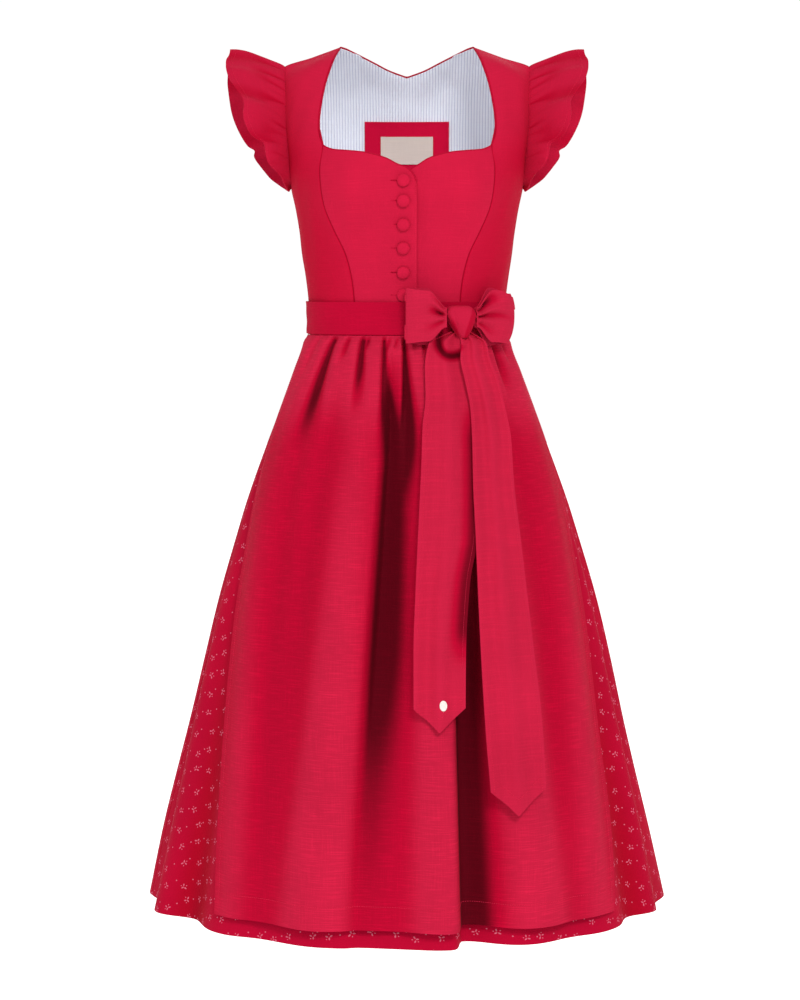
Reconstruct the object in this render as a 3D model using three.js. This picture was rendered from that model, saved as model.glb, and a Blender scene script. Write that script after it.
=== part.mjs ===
// Dirndl: a fitted bodice with flutter sleeves, a gathered skirt, an apron and its sash tied in a bow.
// Millimetres, +Z up. X runs to the wearer's left, -Y is the front, and the origin lies midway
// between the two shoulder straps, where the wearer holds the dress up.
import * as THREE from 'three';
import { mergeVertices } from 'three/addons/utils/BufferGeometryUtils.js';

// Driving sizes
const SEAM_GAP = 0.3;
const WAIST_SEAM_Z = -312;
const SKIRT_HEM_Z = -1023;
const SHOULDER_TIP = { x: 148, z: -12 };
const NECK_POINT = { x: 81, z: 12 };
const UNDERARM_Z = -158;

const BODICE_WALL = 2.0;
const BACK_WALL = 1.2;
const LINING_WALL = 1.0;
const SKIRT_WALL = 1.5;
const APRON_WALL = 1.2;
const SLEEVE_WALL = 1.2;
const RIBBON_WALL = 1.2;
const LABEL_WALL = 1.0;

const BELT = { top: -292.8, bottom: -332, sashBottom: -331, bandWall: 1.2, sashWall: 1.4, columns: 72 };
const BUTTON = { diameter: 15, height: 5, seat: 0.8, x: -4.6, rows: [-151.9, -175, -202.3, -229.6, -258, -284.6] };
const PIPING = { radius: 1.0, sides: 5 };
const PATCH = { halfWidth: 53, top: -71, bottom: -171, gap: 1.0 };
const LABEL = { halfWidth: 33, top: -90, bottom: -124.5, gap: 0.5 };
const PLACKET = { topEdge: 11, underEdge: -6, sink: 2.9, rampFrom: 12, rampTo: 28 };

const COLOURS = {
  bodice: 0xcf2142, skirt: 0xb41236, apron: 0xc0203f, sash: 0xc01d3d, sleeve: 0xc9223f,
  lining: 0xd8d8e2, patch: 0xbe1034, label: 0xe4d8ce, charm: 0xd9c7b4,
};

// Body rings from the shoulder line down to the belt: half width, depth in front of and behind the
// ring's middle, and the middle's own y. The top rows close up to the sloping shoulder line.
const BODY_RINGS = [
  { z: 12, half: 81, front: 3, back: 3, mid: 12 },
  { z: 8, half: 92.2, front: 18, back: 18, mid: 12 },
  { z: 0, half: 114.5, front: 33, back: 34, mid: 12 },
  { z: -12, half: 148, front: 47, back: 52, mid: 12 },
  { z: -20, half: 149.2, front: 55, back: 64, mid: 12 },
  { z: -40, half: 151, front: 73, back: 84, mid: 11 },
  { z: -80, half: 152, front: 97, back: 104, mid: 8 },
  { z: -120, half: 147.5, front: 113, back: 110, mid: 3 },
  { z: -158, half: 139.2, front: 118, back: 112, mid: 0 },
  { z: -200, half: 131, front: 109, back: 106, mid: 0 },
  { z: -243, half: 125.4, front: 98, back: 96, mid: 0 },
  { z: -280, half: 120.2, front: 90, back: 89, mid: 0 },
  { z: -312, half: 118.2, front: 88, back: 88, mid: 0 },
  { z: -332, half: 118.4, front: 88.5, back: 88.5, mid: 0 },
];
const BODY_ROUNDNESS = 2.25;
const BUST = { x: 74, z: -158, spreadX: 34, spreadZ: 34, rise: 8 };

// Skirt rings, before any fold, from the waist seam to the hem.
const SKIRT_RINGS = [
  { z: -312, half: 118.2, front: 88, back: 88, round: 2.25 },
  { z: -332, half: 118.4, front: 88.5, back: 88.5, round: 2.25 },
  { z: -345, half: 121, front: 92, back: 92, round: 2.2 },
  { z: -375, half: 133, front: 102, back: 103, round: 2.1 },
  { z: -415, half: 150, front: 117, back: 118, round: 2.05 },
  { z: -473, half: 172.5, front: 137, back: 138, round: 2 },
  { z: -534, half: 193.5, front: 156, back: 156, round: 2 },
  { z: -580, half: 206.5, front: 168, back: 168, round: 2 },
  { z: -654, half: 226.5, front: 185.5, back: 185, round: 2 },
  { z: -728, half: 244, front: 201, back: 200, round: 2 },
  { z: -806, half: 262, front: 217, back: 215, round: 2 },
  { z: -853, half: 273.5, front: 226, back: 224, round: 2 },
  { z: -935, half: 293, front: 242, back: 240, round: 2 },
  { z: -1023, half: 311, front: 257, back: 255, round: 2 },
];

// The apron's large folds. turn is the angle round the waist from the front, in degrees, positive to
// the wearer's left, at the waist and at the hem; wide is its half width in degrees; the other columns
// are its height in mm, below zero for a trough, at five levels from the waist to the hem.
const FOLD_LEVELS = [0.05, 0.25, 0.5, 0.75, 1];
const FOLD_START = 0.03;
const APRON_FOLDS = [
  { turn: -62, hemTurn: -41, wide: 4.5, heights: [0, 2, 4, 6, 7] },
  { turn: -47, hemTurn: -35.5, wide: 4, heights: [-1, -4, -6, -6, -5] },
  { turn: -33, hemTurn: -29, wide: 4.5, heights: [-2, -6, -7, -5, -3] },
  { turn: -19, hemTurn: -20.5, wide: 6, heights: [1, 5, 8, 11, 12] },
  { turn: -8, hemTurn: -6.5, wide: 3.2, heights: [-3, -13, -15, -6, -2] },
  { turn: 5, hemTurn: 8, wide: 4.6, heights: [1, 4, 7, 12, 14] },
  { turn: 20, hemTurn: 14, wide: 3.6, heights: [-3, -11, -15, -21, -25] },
  { turn: 32, hemTurn: 27, wide: 6.5, heights: [1, 5, 9, 13, 14] },
  { turn: 47, hemTurn: 37, wide: 4, heights: [-1, -4, -5, -5, -4] },
  { turn: 62, hemTurn: 46, wide: 4.5, heights: [0, 2, 4, 6, 7] },
];
// Folds of the skirt outside the apron, in the same columns.
const SKIRT_FOLDS = [
  { turn: -70, hemTurn: -59, wide: 5, heights: [0, -2, -6, -13, -20] },
  { turn: -80, hemTurn: -71, wide: 4.6, heights: [0, 2, 5, 7, 8] },
  { turn: -90, hemTurn: -82, wide: 4.2, heights: [0, -3, -6, -7, -7] },
  { turn: -97, hemTurn: -95, wide: 5, heights: [0, 3, 6, 7, 8] },
  { turn: -108, hemTurn: -109, wide: 4.4, heights: [0, -4, -8, -10, -11] },
  { turn: -120, hemTurn: -122, wide: 5.4, heights: [0, 3, 6, 8, 10] },
  { turn: -133, hemTurn: -135, wide: 4.2, heights: [0, -5, -9, -11, -12] },
  { turn: -146, hemTurn: -147, wide: 5, heights: [0, 4, 7, 9, 11] },
  { turn: -158, hemTurn: -159, wide: 4.2, heights: [0, -4, -9, -12, -13] },
  { turn: -170, hemTurn: -171, wide: 4.8, heights: [0, 4, 7, 9, 10] },
  { turn: 178, hemTurn: 177, wide: 4.4, heights: [0, -4, -8, -10, -12] },
  { turn: 166, hemTurn: 166, wide: 4.8, heights: [0, 4, 6, 9, 11] },
  { turn: 153, hemTurn: 154, wide: 4.2, heights: [0, -5, -9, -12, -14] },
  { turn: 141, hemTurn: 142, wide: 5, heights: [0, 3, 7, 9, 10] },
  { turn: 129, hemTurn: 129, wide: 4.4, heights: [0, -4, -8, -11, -12] },
  { turn: 116, hemTurn: 117, wide: 5.2, heights: [0, 4, 6, 8, 9] },
  { turn: 104, hemTurn: 103, wide: 4.2, heights: [0, -3, -8, -9, -10] },
  { turn: 95, hemTurn: 91, wide: 4.8, heights: [0, 3, 5, 6, 7] },
  { turn: 86, hemTurn: 80, wide: 4, heights: [0, -3, -7, -8, -8] },
  { turn: 78, hemTurn: 72, wide: 4, heights: [0, 2, 4, 6, 7] },
  { turn: 70, hemTurn: 63, wide: 4.6, heights: [0, -2, -5, -12, -17] },
];
const UNDER_APRON = { trough: 0.95, ridge: 0.5, gathers: 0.3 };
const GATHERS = { skirtCount: 50, height: 2.2, from: -333, full: -345, fadeEnd: -470 };
const SKIRT_ROWS = [-312.15, -332.3, -345, -375, -425, -500, -590, -690, -790, -900, SKIRT_HEM_Z];
const SKIRT_STEP = 3.6;

// The apron stands out from the skirt's ring by these amounts; its side edges run forward to the hem.
const APRON_LIFT = [
  { z: -332.3, lift: 1.5 }, { z: -345, lift: 5 }, { z: -400, lift: 6.5 }, { z: -1001, lift: 10 },
];
const APRON_EDGES = [
  { z: -332.3, right: 88, left: 88 }, { z: -430, right: 80, left: 82 }, { z: -549, right: 69, left: 73 },
  { z: -668, right: 62, left: 66 }, { z: -786, right: 56, left: 60 }, { z: -905, right: 50, left: 56 },
  { z: -1001, right: 46, left: 51 },
];
const APRON_ROWS = [-332.3, -345, -375, -425, -500, -590, -690, -790, -900, -1001];
const APRON_COLUMNS = 54;
const APRON_EDGE_LIFT = 2.6;
const APRON_EDGE_BLEND = 14;
const APRON_MARGIN = 8;

// Bodice seams and edges as half widths at heights; front and back share the side seam's rows.
const SIDE_ROWS = [-311.85, -292, -262, -236, -210, -181, UNDERARM_Z];
const FRONT_SEAM = [
  { z: -311.85, x: 62 }, { z: -292, x: 62.5 }, { z: -262, x: 66 }, { z: -236, x: 73 }, { z: -210, x: 85.5 },
  { z: -181, x: 97.5 }, { z: -158, x: 101.5 }, { z: -135, x: 102.5 }, { z: -111, x: 99 },
];
const FRONT_NECK_EDGE = [
  { z: -98, x: 103 }, { z: -83, x: 104.5 }, { z: -40, x: 98.6 }, { z: -7, x: 89 },
];
const BACK_SEAM = [
  { z: -311.85, x: 34 }, { z: -292, x: 35 }, { z: -262, x: 39 }, { z: -236, x: 44 }, { z: -210, x: 50 },
  { z: -181, x: 56 }, { z: -158, x: 59 }, { z: -130, x: 61 }, { z: -105, x: 61 }, { z: -82, x: 60.6 },
  { z: -60, x: 59.6 }, { z: -32, x: 57.6 }, { z: 2, x: 54 },
];
const BACK_NECK_EDGE = [{ z: 8.6, x: 68 }];
const FRONT_ARMHOLE = [
  { z: -147, x: 139.4 }, { z: -131, x: 140.6 }, { z: -111, x: 142.4 }, { z: -88, x: 144.6 },
  { z: -60, x: 145.7 }, { z: -33, x: 146.6 },
];
const BACK_ARMHOLE = [
  { z: -147, x: 139.4 }, { z: -131, x: 140.6 }, { z: -110, x: 142.5 }, { z: -88, x: 144.6 },
  { z: -66, x: 145.6 }, { z: -46, x: 146.1 }, { z: -28, x: 146.9 },
];
// Heights of the front neckline by distance from the centre, of each front and of the back neckline.
const RIGHT_NECKLINE = [
  { x: -11, z: -158 }, { x: -8.5, z: -149.5 }, { x: -5.4, z: -143.6 }, { x: 0, z: -138.5 },
  { x: 3.5, z: -136.4 }, { x: 11.6, z: -133.6 }, { x: 23, z: -127.4 }, { x: 35, z: -123.1 },
  { x: 52, z: -119.2 }, { x: 70, z: -117.3 }, { x: 87, z: -115.8 }, { x: 99, z: -111 },
];
const LEFT_NECKLINE = [
  { x: -6, z: -152 }, { x: 0, z: -143 }, { x: 4.6, z: -138.6 }, { x: 11.6, z: -134.3 },
  { x: 23, z: -127.4 }, { x: 35, z: -123.1 }, { x: 52, z: -119.2 }, { x: 70, z: -117.3 },
  { x: 87, z: -115.8 }, { x: 99, z: -111 },
];
const BACK_NECKLINE = [
  { x: 0, z: -20 }, { x: 22, z: -12.7 }, { x: 38, z: -5.2 }, { x: 54, z: 2 },
];
const FRONT_SHARES = [0, 0.045, 0.09, 0.16, 0.3, 0.48, 0.7, 0.86, 1];
const STRAP_COLUMNS = 5;
const BACK_COLUMNS = 8;

// The flutter sleeve's free edge from the front of the underarm, over the shoulder, to its back.
const SLEEVE_EDGE = [
  { x: 143, y: -12, z: -161 }, { x: 152, y: -42, z: -142 }, { x: 164, y: -58, z: -126 },
  { x: 172, y: -66, z: -108 }, { x: 184, y: -74, z: -94 }, { x: 190, y: -76, z: -76 },
  { x: 193, y: -70, z: -58 }, { x: 201, y: -57, z: -41 }, { x: 212, y: -38, z: -26 },
  { x: 216, y: -16, z: -6 }, { x: 212, y: 6, z: 7 }, { x: 216, y: 28, z: -4 },
  { x: 219, y: 46, z: -24 }, { x: 217, y: 62, z: -50 }, { x: 211, y: 70, z: -76 },
  { x: 195, y: 72, z: -103 }, { x: 183, y: 66, z: -118 }, { x: 171, y: 54, z: -137 },
  { x: 157, y: 38, z: -150 }, { x: 143, y: 12, z: -161 },
];
const SLEEVE = { splits: 3, bands: [0, 0.25, 0.6, 1], waves: 9, waveHeight: 6, arch: 9, taper: 0.12 };

// The bow, on the wearer's left of the front: loops, knot and hanging ends.
const KNOT = { x: 57.8, z: -312.5, halfWidth: 17.5, halfHeight: 15.5, back: 0.85, depth: 27, turns: 16, rows: 9 };
const LOOPS = {
  bow_loop_right: {
    root: { x: 45.9, y: -102.6 }, tip: { x: -2, y: -110 }, rootHalf: 3, fat: 9,
    rootTop: -299, rootBottom: -322, tipTop: -276.5, tipBottom: -340.5,
  },
  bow_loop_left: {
    root: { x: 80.1, y: -90 }, tip: { x: 126, y: -61 }, rootHalf: 3, fat: 9,
    rootTop: -299, rootBottom: -322, tipTop: -279, tipBottom: -344,
  },
};
const LOOP_GRID = { columns: 14, rows: 5, crease: 2.2, creases: 3 };
// The hanging ends, seen from the front: both edges at heights, and how far they stand off the skirt.
const TAILS = {
  sash_tail_right: {
    edges: [
      { z: -328, near: 53, far: 64, out: 11.5 }, { z: -340, near: 27, far: 67, out: 15 },
      { z: -370, near: 21.5, far: 74, out: 16 }, { z: -401, near: 22, far: 80, out: 16.5 },
      { z: -438, near: 18, far: 83, out: 18 }, { z: -473, near: 16.7, far: 84, out: 19 },
      { z: -555, near: 12.6, far: 83, out: 22 }, { z: -613, near: 9.7, far: 73, out: 24 },
      { z: -689, near: 7, far: 68, out: 26 }, { z: -751, near: 7, far: 67.2, out: 27.5 },
    ],
    point: 27, pleat: 2.4, pleats: 2,
  },
  sash_tail_left: {
    edges: [
      { z: -327.9, near: 64, far: 77.5, out: 15.2 }, { z: -340, near: 66.4, far: 96, out: 20 },
      { z: -358, near: 65.3, far: 100, out: 21.8 }, { z: -385, near: 70.4, far: 110, out: 22.6 },
      { z: -417, near: 76, far: 117.5, out: 22.5 }, { z: -451, near: 77.4, far: 123.7, out: 23.5 },
      { z: -496, near: 77.8, far: 126, out: 25 }, { z: -563, near: 80.5, far: 133.3, out: 27 },
      { z: -670, near: 84.6, far: 145.4, out: 30 }, { z: -773, near: 90.4, far: 157, out: 31.5 },
      { z: -844, near: 96.2, far: 161, out: 32.5 },
    ],
    point: 29, pleat: 2.4, pleats: 2,
  },
};
const TAIL_GRID = { columns: 8, steps: 12 };
const CHARM = { x: 41, z: -741, halfWidth: 5, halfHeight: 7, thick: 1.6, turns: 5 };

const RAD = Math.PI / 180;
const clamp01 = (v) => Math.min(1, Math.max(0, v));
const smooth = (v) => { const c = clamp01(v); return c * c * (3 - 2 * c); };
const lerp = (a, b, t) => a + (b - a) * t;

// Smooth interpolation of one column of a table whose key column rises or falls steadily.
function column(table, key, name, at) {
  const falling = table[0][key] > table[table.length - 1][key];
  const rows = falling ? [...table].reverse() : table;
  const last = rows.length - 1;
  if (at <= rows[0][key]) return rows[0][name];
  if (at >= rows[last][key]) return rows[last][name];
  let i = 0;
  while (rows[i + 1][key] < at) i += 1;
  const step = (k) => (rows[k + 1][name] - rows[k][name]) / (rows[k + 1][key] - rows[k][key]);
  const slope = (k) => {
    if (k <= 0) return step(0);
    if (k >= last) return step(last - 1);
    const [before, after] = [step(k - 1), step(k)];
    return before * after <= 0 ? 0 : (2 * before * after) / (before + after);
  };
  const width = rows[i + 1][key] - rows[i][key];
  const t = (at - rows[i][key]) / width;
  const [t2, t3] = [t * t, t * t * t];
  return (2 * t3 - 3 * t2 + 1) * rows[i][name] + (t3 - 2 * t2 + t) * width * slope(i)
    + (3 * t2 - 2 * t3) * rows[i + 1][name] + (t3 - t2) * width * slope(i + 1);
}

// A point of a rounded ring: the angle runs from the front (0) to the wearer's left (90) and the back.
function ringPoint(angle, half, front, back, mid, round) {
  const [s, c] = [Math.sin(angle), Math.cos(angle)];
  const x = Math.sign(s) * half * Math.abs(s) ** (2 / round);
  const depth = c >= 0 ? -front : back;
  return { x, y: mid + depth * Math.abs(c) ** (2 / round) };
}

// The bodice's outer surface at an angle and a height.
function bodyPoint(angle, z) {
  const at = (name) => column(BODY_RINGS, 'z', name, z);
  const { x, y } = ringPoint(angle, at('half'), at('front'), at('back'), at('mid'), BODY_ROUNDNESS);
  const bell = Math.exp(-(((Math.abs(x) - BUST.x) / BUST.spreadX) ** 2) - ((z - BUST.z) / BUST.spreadZ) ** 2);
  const facing = Math.max(0, Math.cos(angle)) ** 0.5;
  return new THREE.Vector3(x, y - BUST.rise * bell * facing, z);
}

// The angle at which a ring of the bodice is x from the middle, on its front or its back.
function bodyAngle(x, z, onBack) {
  const share = clamp01(Math.abs(x) / column(BODY_RINGS, 'z', 'half', z));
  const turn = Math.asin(share ** (BODY_ROUNDNESS / 2));
  return Math.sign(x || 1) * (onBack ? Math.PI - turn : turn);
}

function surfaceNormal(surface, angle, z, outward = 1) {
  const e = 0.4 * RAD;
  const d = 0.8;
  const across = surface(angle + e, z).sub(surface(angle - e, z));
  const up = surface(angle, z + d).sub(surface(angle, z - d));
  return across.cross(up).normalize().multiplyScalar(outward);
}

// Height of a row of folds at an angle and a share of the way down.
function foldHeight(folds, angle, t) {
  const levels = FOLD_LEVELS;
  const total = { ridge: 0, trough: 0 };
  for (const fold of folds) {
    const centre = lerp(fold.turn, fold.hemTurn, smooth(t)) * RAD;
    let off = angle - centre;
    off = Math.atan2(Math.sin(off), Math.cos(off)) / RAD;
    if (Math.abs(off) > fold.wide * 3.2) continue;
    const rows = levels.map((level, k) => ({ level, height: fold.heights[k] }));
    const height = column(rows, 'level', 'height', t) * smooth((t - FOLD_START) / levels[0]);
    const bell = Math.exp(-0.5 * (off / fold.wide) ** 2);
    if (height > 0) total.ridge += height * bell;
    else total.trough += height * bell;
  }
  return total;
}

const skirtShare = (z) => clamp01((WAIST_SEAM_Z - z) / (WAIST_SEAM_Z - SKIRT_HEM_Z));

function gatherHeight(z) {
  const rise = smooth((GATHERS.from - z) / (GATHERS.from - GATHERS.full));
  return GATHERS.height * rise * (1 - smooth((GATHERS.full - z) / (GATHERS.full - GATHERS.fadeEnd)));
}

function apronEdgeTurn(side, z) {
  return column(APRON_EDGES, 'z', side > 0 ? 'left' : 'right', z) * side;
}

// 1 under the apron, falling to 0 past its side edges.
function underApron(angle, z) {
  const turn = angle / RAD;
  const room = turn < 0 ? turn - apronEdgeTurn(-1, z) : apronEdgeTurn(1, z) - turn;
  return smooth(room / APRON_MARGIN + 1);
}

// The skirt's plain ring moved out by a height, along its own level normal.
function skirtRing(angle, z, out) {
  const at = (name) => column(SKIRT_RINGS, 'z', name, z);
  const ring = (a) => ringPoint(a, at('half'), at('front'), at('back'), 0, at('round'));
  const e = 0.5 * RAD;
  const [a, b, p] = [ring(angle - e), ring(angle + e), ring(angle)];
  const [tx, ty] = [b.x - a.x, b.y - a.y];
  const length = Math.hypot(tx, ty);
  return new THREE.Vector3(p.x + (ty / length) * out, p.y - (tx / length) * out, z);
}

function skirtOut(angle, z) {
  const t = skirtShare(z);
  const cover = underApron(angle, z);
  const under = foldHeight(APRON_FOLDS, angle, t);
  const own = foldHeight(SKIRT_FOLDS, angle, t);
  return UNDER_APRON.trough * under.trough + UNDER_APRON.ridge * under.ridge + own.trough + own.ridge * (1 - cover);
}

function skirtGather(angle, z) {
  const share = lerp(1, UNDER_APRON.gathers, underApron(angle, z));
  return gatherHeight(z) * share * Math.cos(GATHERS.skirtCount * angle);
}

const skirtSmooth = (angle, z) => skirtRing(angle, z, skirtOut(angle, z));

function apronOut(angle, z) {
  const fold = foldHeight(APRON_FOLDS, angle, skirtShare(z));
  const turn = angle / RAD;
  const room = turn < 0 ? turn - apronEdgeTurn(-1, z) : apronEdgeTurn(1, z) - turn;
  const inside = smooth(room / APRON_EDGE_BLEND);
  const lift = column(APRON_LIFT, 'z', 'lift', z);
  const low = Math.min(lift, APRON_EDGE_LIFT);
  const free = lerp(low, lift, inside) + fold.trough + fold.ridge;
  return Math.max(free, skirtOut(angle, z) + low);
}

const apronSmooth = (angle, z) => skirtRing(angle, z, apronOut(angle, z));

// Geometry of closed walls

// A grid holds, for each row and column, a point of the outer face and the outward normal there.
function makeGrid(rows, columns, cell) {
  return Array.from({ length: rows }, (_, i) => Array.from({ length: columns }, (_, j) => cell(i, j)));
}

// Pulls the named sides of a grid back from their seam, in the cloth, by half the seam gap.
function insetSides(grid, sides, gap = SEAM_GAP / 2) {
  const lastRow = grid.length - 1;
  const lastColumn = grid[0].length - 1;
  const pull = (cell, inner, before, after) => {
    const along = after.p.clone().sub(before.p).normalize();
    const inward = inner.p.clone().sub(cell.p);
    inward.addScaledVector(cell.n, -inward.dot(cell.n));
    inward.addScaledVector(along, -inward.dot(along));
    return inward.normalize().multiplyScalar(gap);
  };
  const moves = [];
  for (let i = 0; i <= lastRow; i += 1) {
    const [before, after] = [Math.max(0, i - 1), Math.min(lastRow, i + 1)];
    if (sides.includes('start')) {
      moves.push([grid[i][0], pull(grid[i][0], grid[i][1], grid[before][0], grid[after][0])]);
    }
    if (sides.includes('end')) {
      const edge = (k) => grid[k][lastColumn];
      moves.push([edge(i), pull(edge(i), grid[i][lastColumn - 1], edge(before), edge(after))]);
    }
  }
  for (let j = 0; j <= lastColumn; j += 1) {
    const [before, after] = [Math.max(0, j - 1), Math.min(lastColumn, j + 1)];
    if (sides.includes('top')) {
      const edge = grid[lastRow];
      moves.push([edge[j], pull(edge[j], grid[lastRow - 1][j], edge[before], edge[after])]);
    }
  }
  for (const [cell, move] of moves) cell.p.add(move);
  return grid;
}

function meshOf(name, vertices, faces, colour, roughness = 0.85) {
  const geometry = new THREE.BufferGeometry();
  geometry.setAttribute('position', new THREE.Float32BufferAttribute(vertices.flatMap((v) => [v.x, v.y, v.z]), 3));
  let volume = 0;
  for (const [a, b, c] of faces) volume += vertices[a].dot(vertices[b].clone().cross(vertices[c]));
  geometry.setIndex((volume >= 0 ? faces : faces.map(([a, b, c]) => [a, c, b])).flat());
  const merged = mergeVertices(geometry, 1e-4);
  merged.computeVertexNormals();
  const mesh = new THREE.Mesh(merged, new THREE.MeshStandardMaterial({ color: colour, roughness, metalness: 0 }));
  mesh.name = name;
  return mesh;
}

// A closed wall: the grid's outer face, the same face moved in by the wall, and the rim between.
// loop joins the last column to the first.
function wall(name, grid, thickness, colour, { start = 0, loop = false, roughness } = {}) {
  const rows = grid.length;
  const columns = grid[0].length;
  const at = (cell, depth) => cell.p.clone().addScaledVector(cell.n, -depth);
  const outer = grid.flatMap((row) => row.map((cell) => at(cell, start)));
  const inner = grid.flatMap((row) => row.map((cell) => at(cell, start + thickness)));
  const vertices = [...outer, ...inner];
  const shift = outer.length;
  const id = (i, j) => i * columns + (j % columns);
  const faces = [];
  const quad = (a, b, c, d) => {
    const short = vertices[a].distanceToSquared(vertices[c]) <= vertices[b].distanceToSquared(vertices[d]);
    faces.push(...(short ? [[a, b, c], [a, c, d]] : [[a, b, d], [b, c, d]]));
  };
  const spans = loop ? columns : columns - 1;
  for (let i = 0; i < rows - 1; i += 1) {
    for (let j = 0; j < spans; j += 1) {
      const [a, b, c, d] = [id(i, j), id(i, j + 1), id(i + 1, j + 1), id(i + 1, j)];
      quad(a, b, c, d);
      quad(a + shift, d + shift, c + shift, b + shift);
    }
  }
  for (let j = 0; j < spans; j += 1) {
    quad(id(0, j), id(0, j) + shift, id(0, j + 1) + shift, id(0, j + 1));
    quad(id(rows - 1, j), id(rows - 1, j + 1), id(rows - 1, j + 1) + shift, id(rows - 1, j) + shift);
  }
  if (!loop) {
    for (let i = 0; i < rows - 1; i += 1) {
      quad(id(i, 0), id(i + 1, 0), id(i + 1, 0) + shift, id(i, 0) + shift);
      quad(id(i, columns - 1), id(i, columns - 1) + shift, id(i + 1, columns - 1) + shift, id(i + 1, columns - 1));
    }
  }
  return meshOf(name, vertices, faces, colour, roughness);
}

// A round cord along a path of centres, with a flat end at each end.
function cord(name, centres, radius, sides, colour) {
  const count = centres.length;
  const vertices = [];
  let side = new THREE.Vector3(0, 0, 1);
  for (let i = 0; i < count; i += 1) {
    const along = centres[Math.min(count - 1, i + 1)].clone().sub(centres[Math.max(0, i - 1)]).normalize();
    side = side.clone().addScaledVector(along, -side.dot(along)).normalize();
    const other = along.clone().cross(side);
    for (let k = 0; k < sides; k += 1) {
      const turn = (2 * Math.PI * k) / sides;
      const spoke = side.clone().multiplyScalar(Math.cos(turn)).addScaledVector(other, Math.sin(turn));
      vertices.push(centres[i].clone().addScaledVector(spoke, radius));
    }
  }
  const faces = [];
  for (let i = 0; i < count - 1; i += 1) {
    for (let k = 0; k < sides; k += 1) {
      const next = (k + 1) % sides;
      const [a, b, c, d] = [i * sides + k, i * sides + next, (i + 1) * sides + next, (i + 1) * sides + k];
      faces.push([a, b, c], [a, c, d]);
    }
  }
  for (let k = 1; k < sides - 1; k += 1) {
    faces.push([0, k + 1, k]);
    const base = (count - 1) * sides;
    faces.push([base, base + k, base + k + 1]);
  }
  return meshOf(name, vertices, faces, colour);
}

// Bodice

function bodyCell(angle, z, sink = 0) {
  const n = surfaceNormal(bodyPoint, angle, z);
  return { p: bodyPoint(angle, z).addScaledVector(n, -sink), n };
}

// A side panel that runs up into its strap: front or back, on one side (1 is the wearer's left).
function strapGrid(side, onBack) {
  const seam = onBack ? [...BACK_SEAM, ...BACK_NECK_EDGE] : [...FRONT_SEAM, ...FRONT_NECK_EDGE];
  const armhole = onBack ? BACK_ARMHOLE : FRONT_ARMHOLE;
  const inner = seam.map(({ x, z }) => ({ turn: bodyAngle(x, z, onBack), z }));
  const outer = SIDE_ROWS.map((z) => ({ turn: Math.PI / 2, z }));
  outer.push(...armhole.map(({ x, z }) => ({ turn: bodyAngle(x, z, onBack), z })));
  inner.push({ turn: Math.PI / 2, z: NECK_POINT.z });
  outer.push({ turn: Math.PI / 2, z: SHOULDER_TIP.z });
  return makeGrid(inner.length, STRAP_COLUMNS + 1, (i, j) => {
    const t = j / STRAP_COLUMNS;
    return bodyCell(side * lerp(inner[i].turn, outer[i].turn, t), lerp(inner[i].z, outer[i].z, t));
  });
}

// A centre panel between its edge and the seam; neckline gives its top by distance from the centre.
function centreGrid(side, onBack, seam, shares, edgeX, neckline, sinkAt = () => 0) {
  const bottom = seam[0].z;
  const top = seam[seam.length - 1];
  return makeGrid(seam.length, shares.length, (i, j) => {
    const rise = (seam[i].z - bottom) / (top.z - bottom);
    const x = lerp(edgeX, seam[i].x, shares[j]);
    const topZ = column(neckline, 'x', 'z', lerp(edgeX, top.x, shares[j]));
    const z = lerp(bottom, topZ, rise);
    return bodyCell(bodyAngle(side * x, z, onBack), z, sinkAt(x));
  });
}

function backCentreGrid() {
  const bottom = BACK_SEAM[0].z;
  const top = BACK_SEAM[BACK_SEAM.length - 1];
  return makeGrid(BACK_SEAM.length, BACK_COLUMNS + 1, (i, j) => {
    const share = (2 * j) / BACK_COLUMNS - 1;
    const rise = (BACK_SEAM[i].z - bottom) / (top.z - bottom);
    const z = lerp(bottom, column(BACK_NECKLINE, 'x', 'z', Math.abs(share) * top.x), rise);
    return bodyCell(bodyAngle(share * BACK_SEAM[i].x, z, true), z);
  });
}

const underSink = (x) => PLACKET.sink * (1 - smooth((x - PLACKET.rampFrom) / (PLACKET.rampTo - PLACKET.rampFrom)));

function bodicePanels() {
  const c = COLOURS.bodice;
  const right = insetSides(
    centreGrid(-1, false, FRONT_SEAM, FRONT_SHARES, -PLACKET.topEdge, RIGHT_NECKLINE), ['end']);
  const left = insetSides(
    centreGrid(1, false, FRONT_SEAM, FRONT_SHARES, PLACKET.underEdge, LEFT_NECKLINE, underSink), ['end']);
  const panels = [
    wall('bodice_front_right', right, BODICE_WALL, c),
    wall('bodice_front_left', left, BODICE_WALL, c),
    wall('bodice_back', insetSides(backCentreGrid(), ['start', 'end']), BACK_WALL, c),
    wall('lining_back', insetSides(backCentreGrid(), ['start', 'end']), LINING_WALL, COLOURS.lining,
      { start: BACK_WALL + SEAM_GAP }),
  ];
  for (const [word, side] of [['right', -1], ['left', 1]]) {
    const front = seamedStrap(strapGrid(side, false), FRONT_SEAM.length);
    const back = seamedStrap(strapGrid(side, true), BACK_SEAM.length);
    panels.push(wall(`bodice_side_front_${word}`, front, BODICE_WALL, c));
    panels.push(wall(`bodice_side_back_${word}`, back, BACK_WALL, c));
    panels.push(wall(`lining_side_back_${word}`, back, LINING_WALL, COLOURS.lining,
      { start: BACK_WALL + SEAM_GAP }));
  }
  return panels;
}

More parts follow.
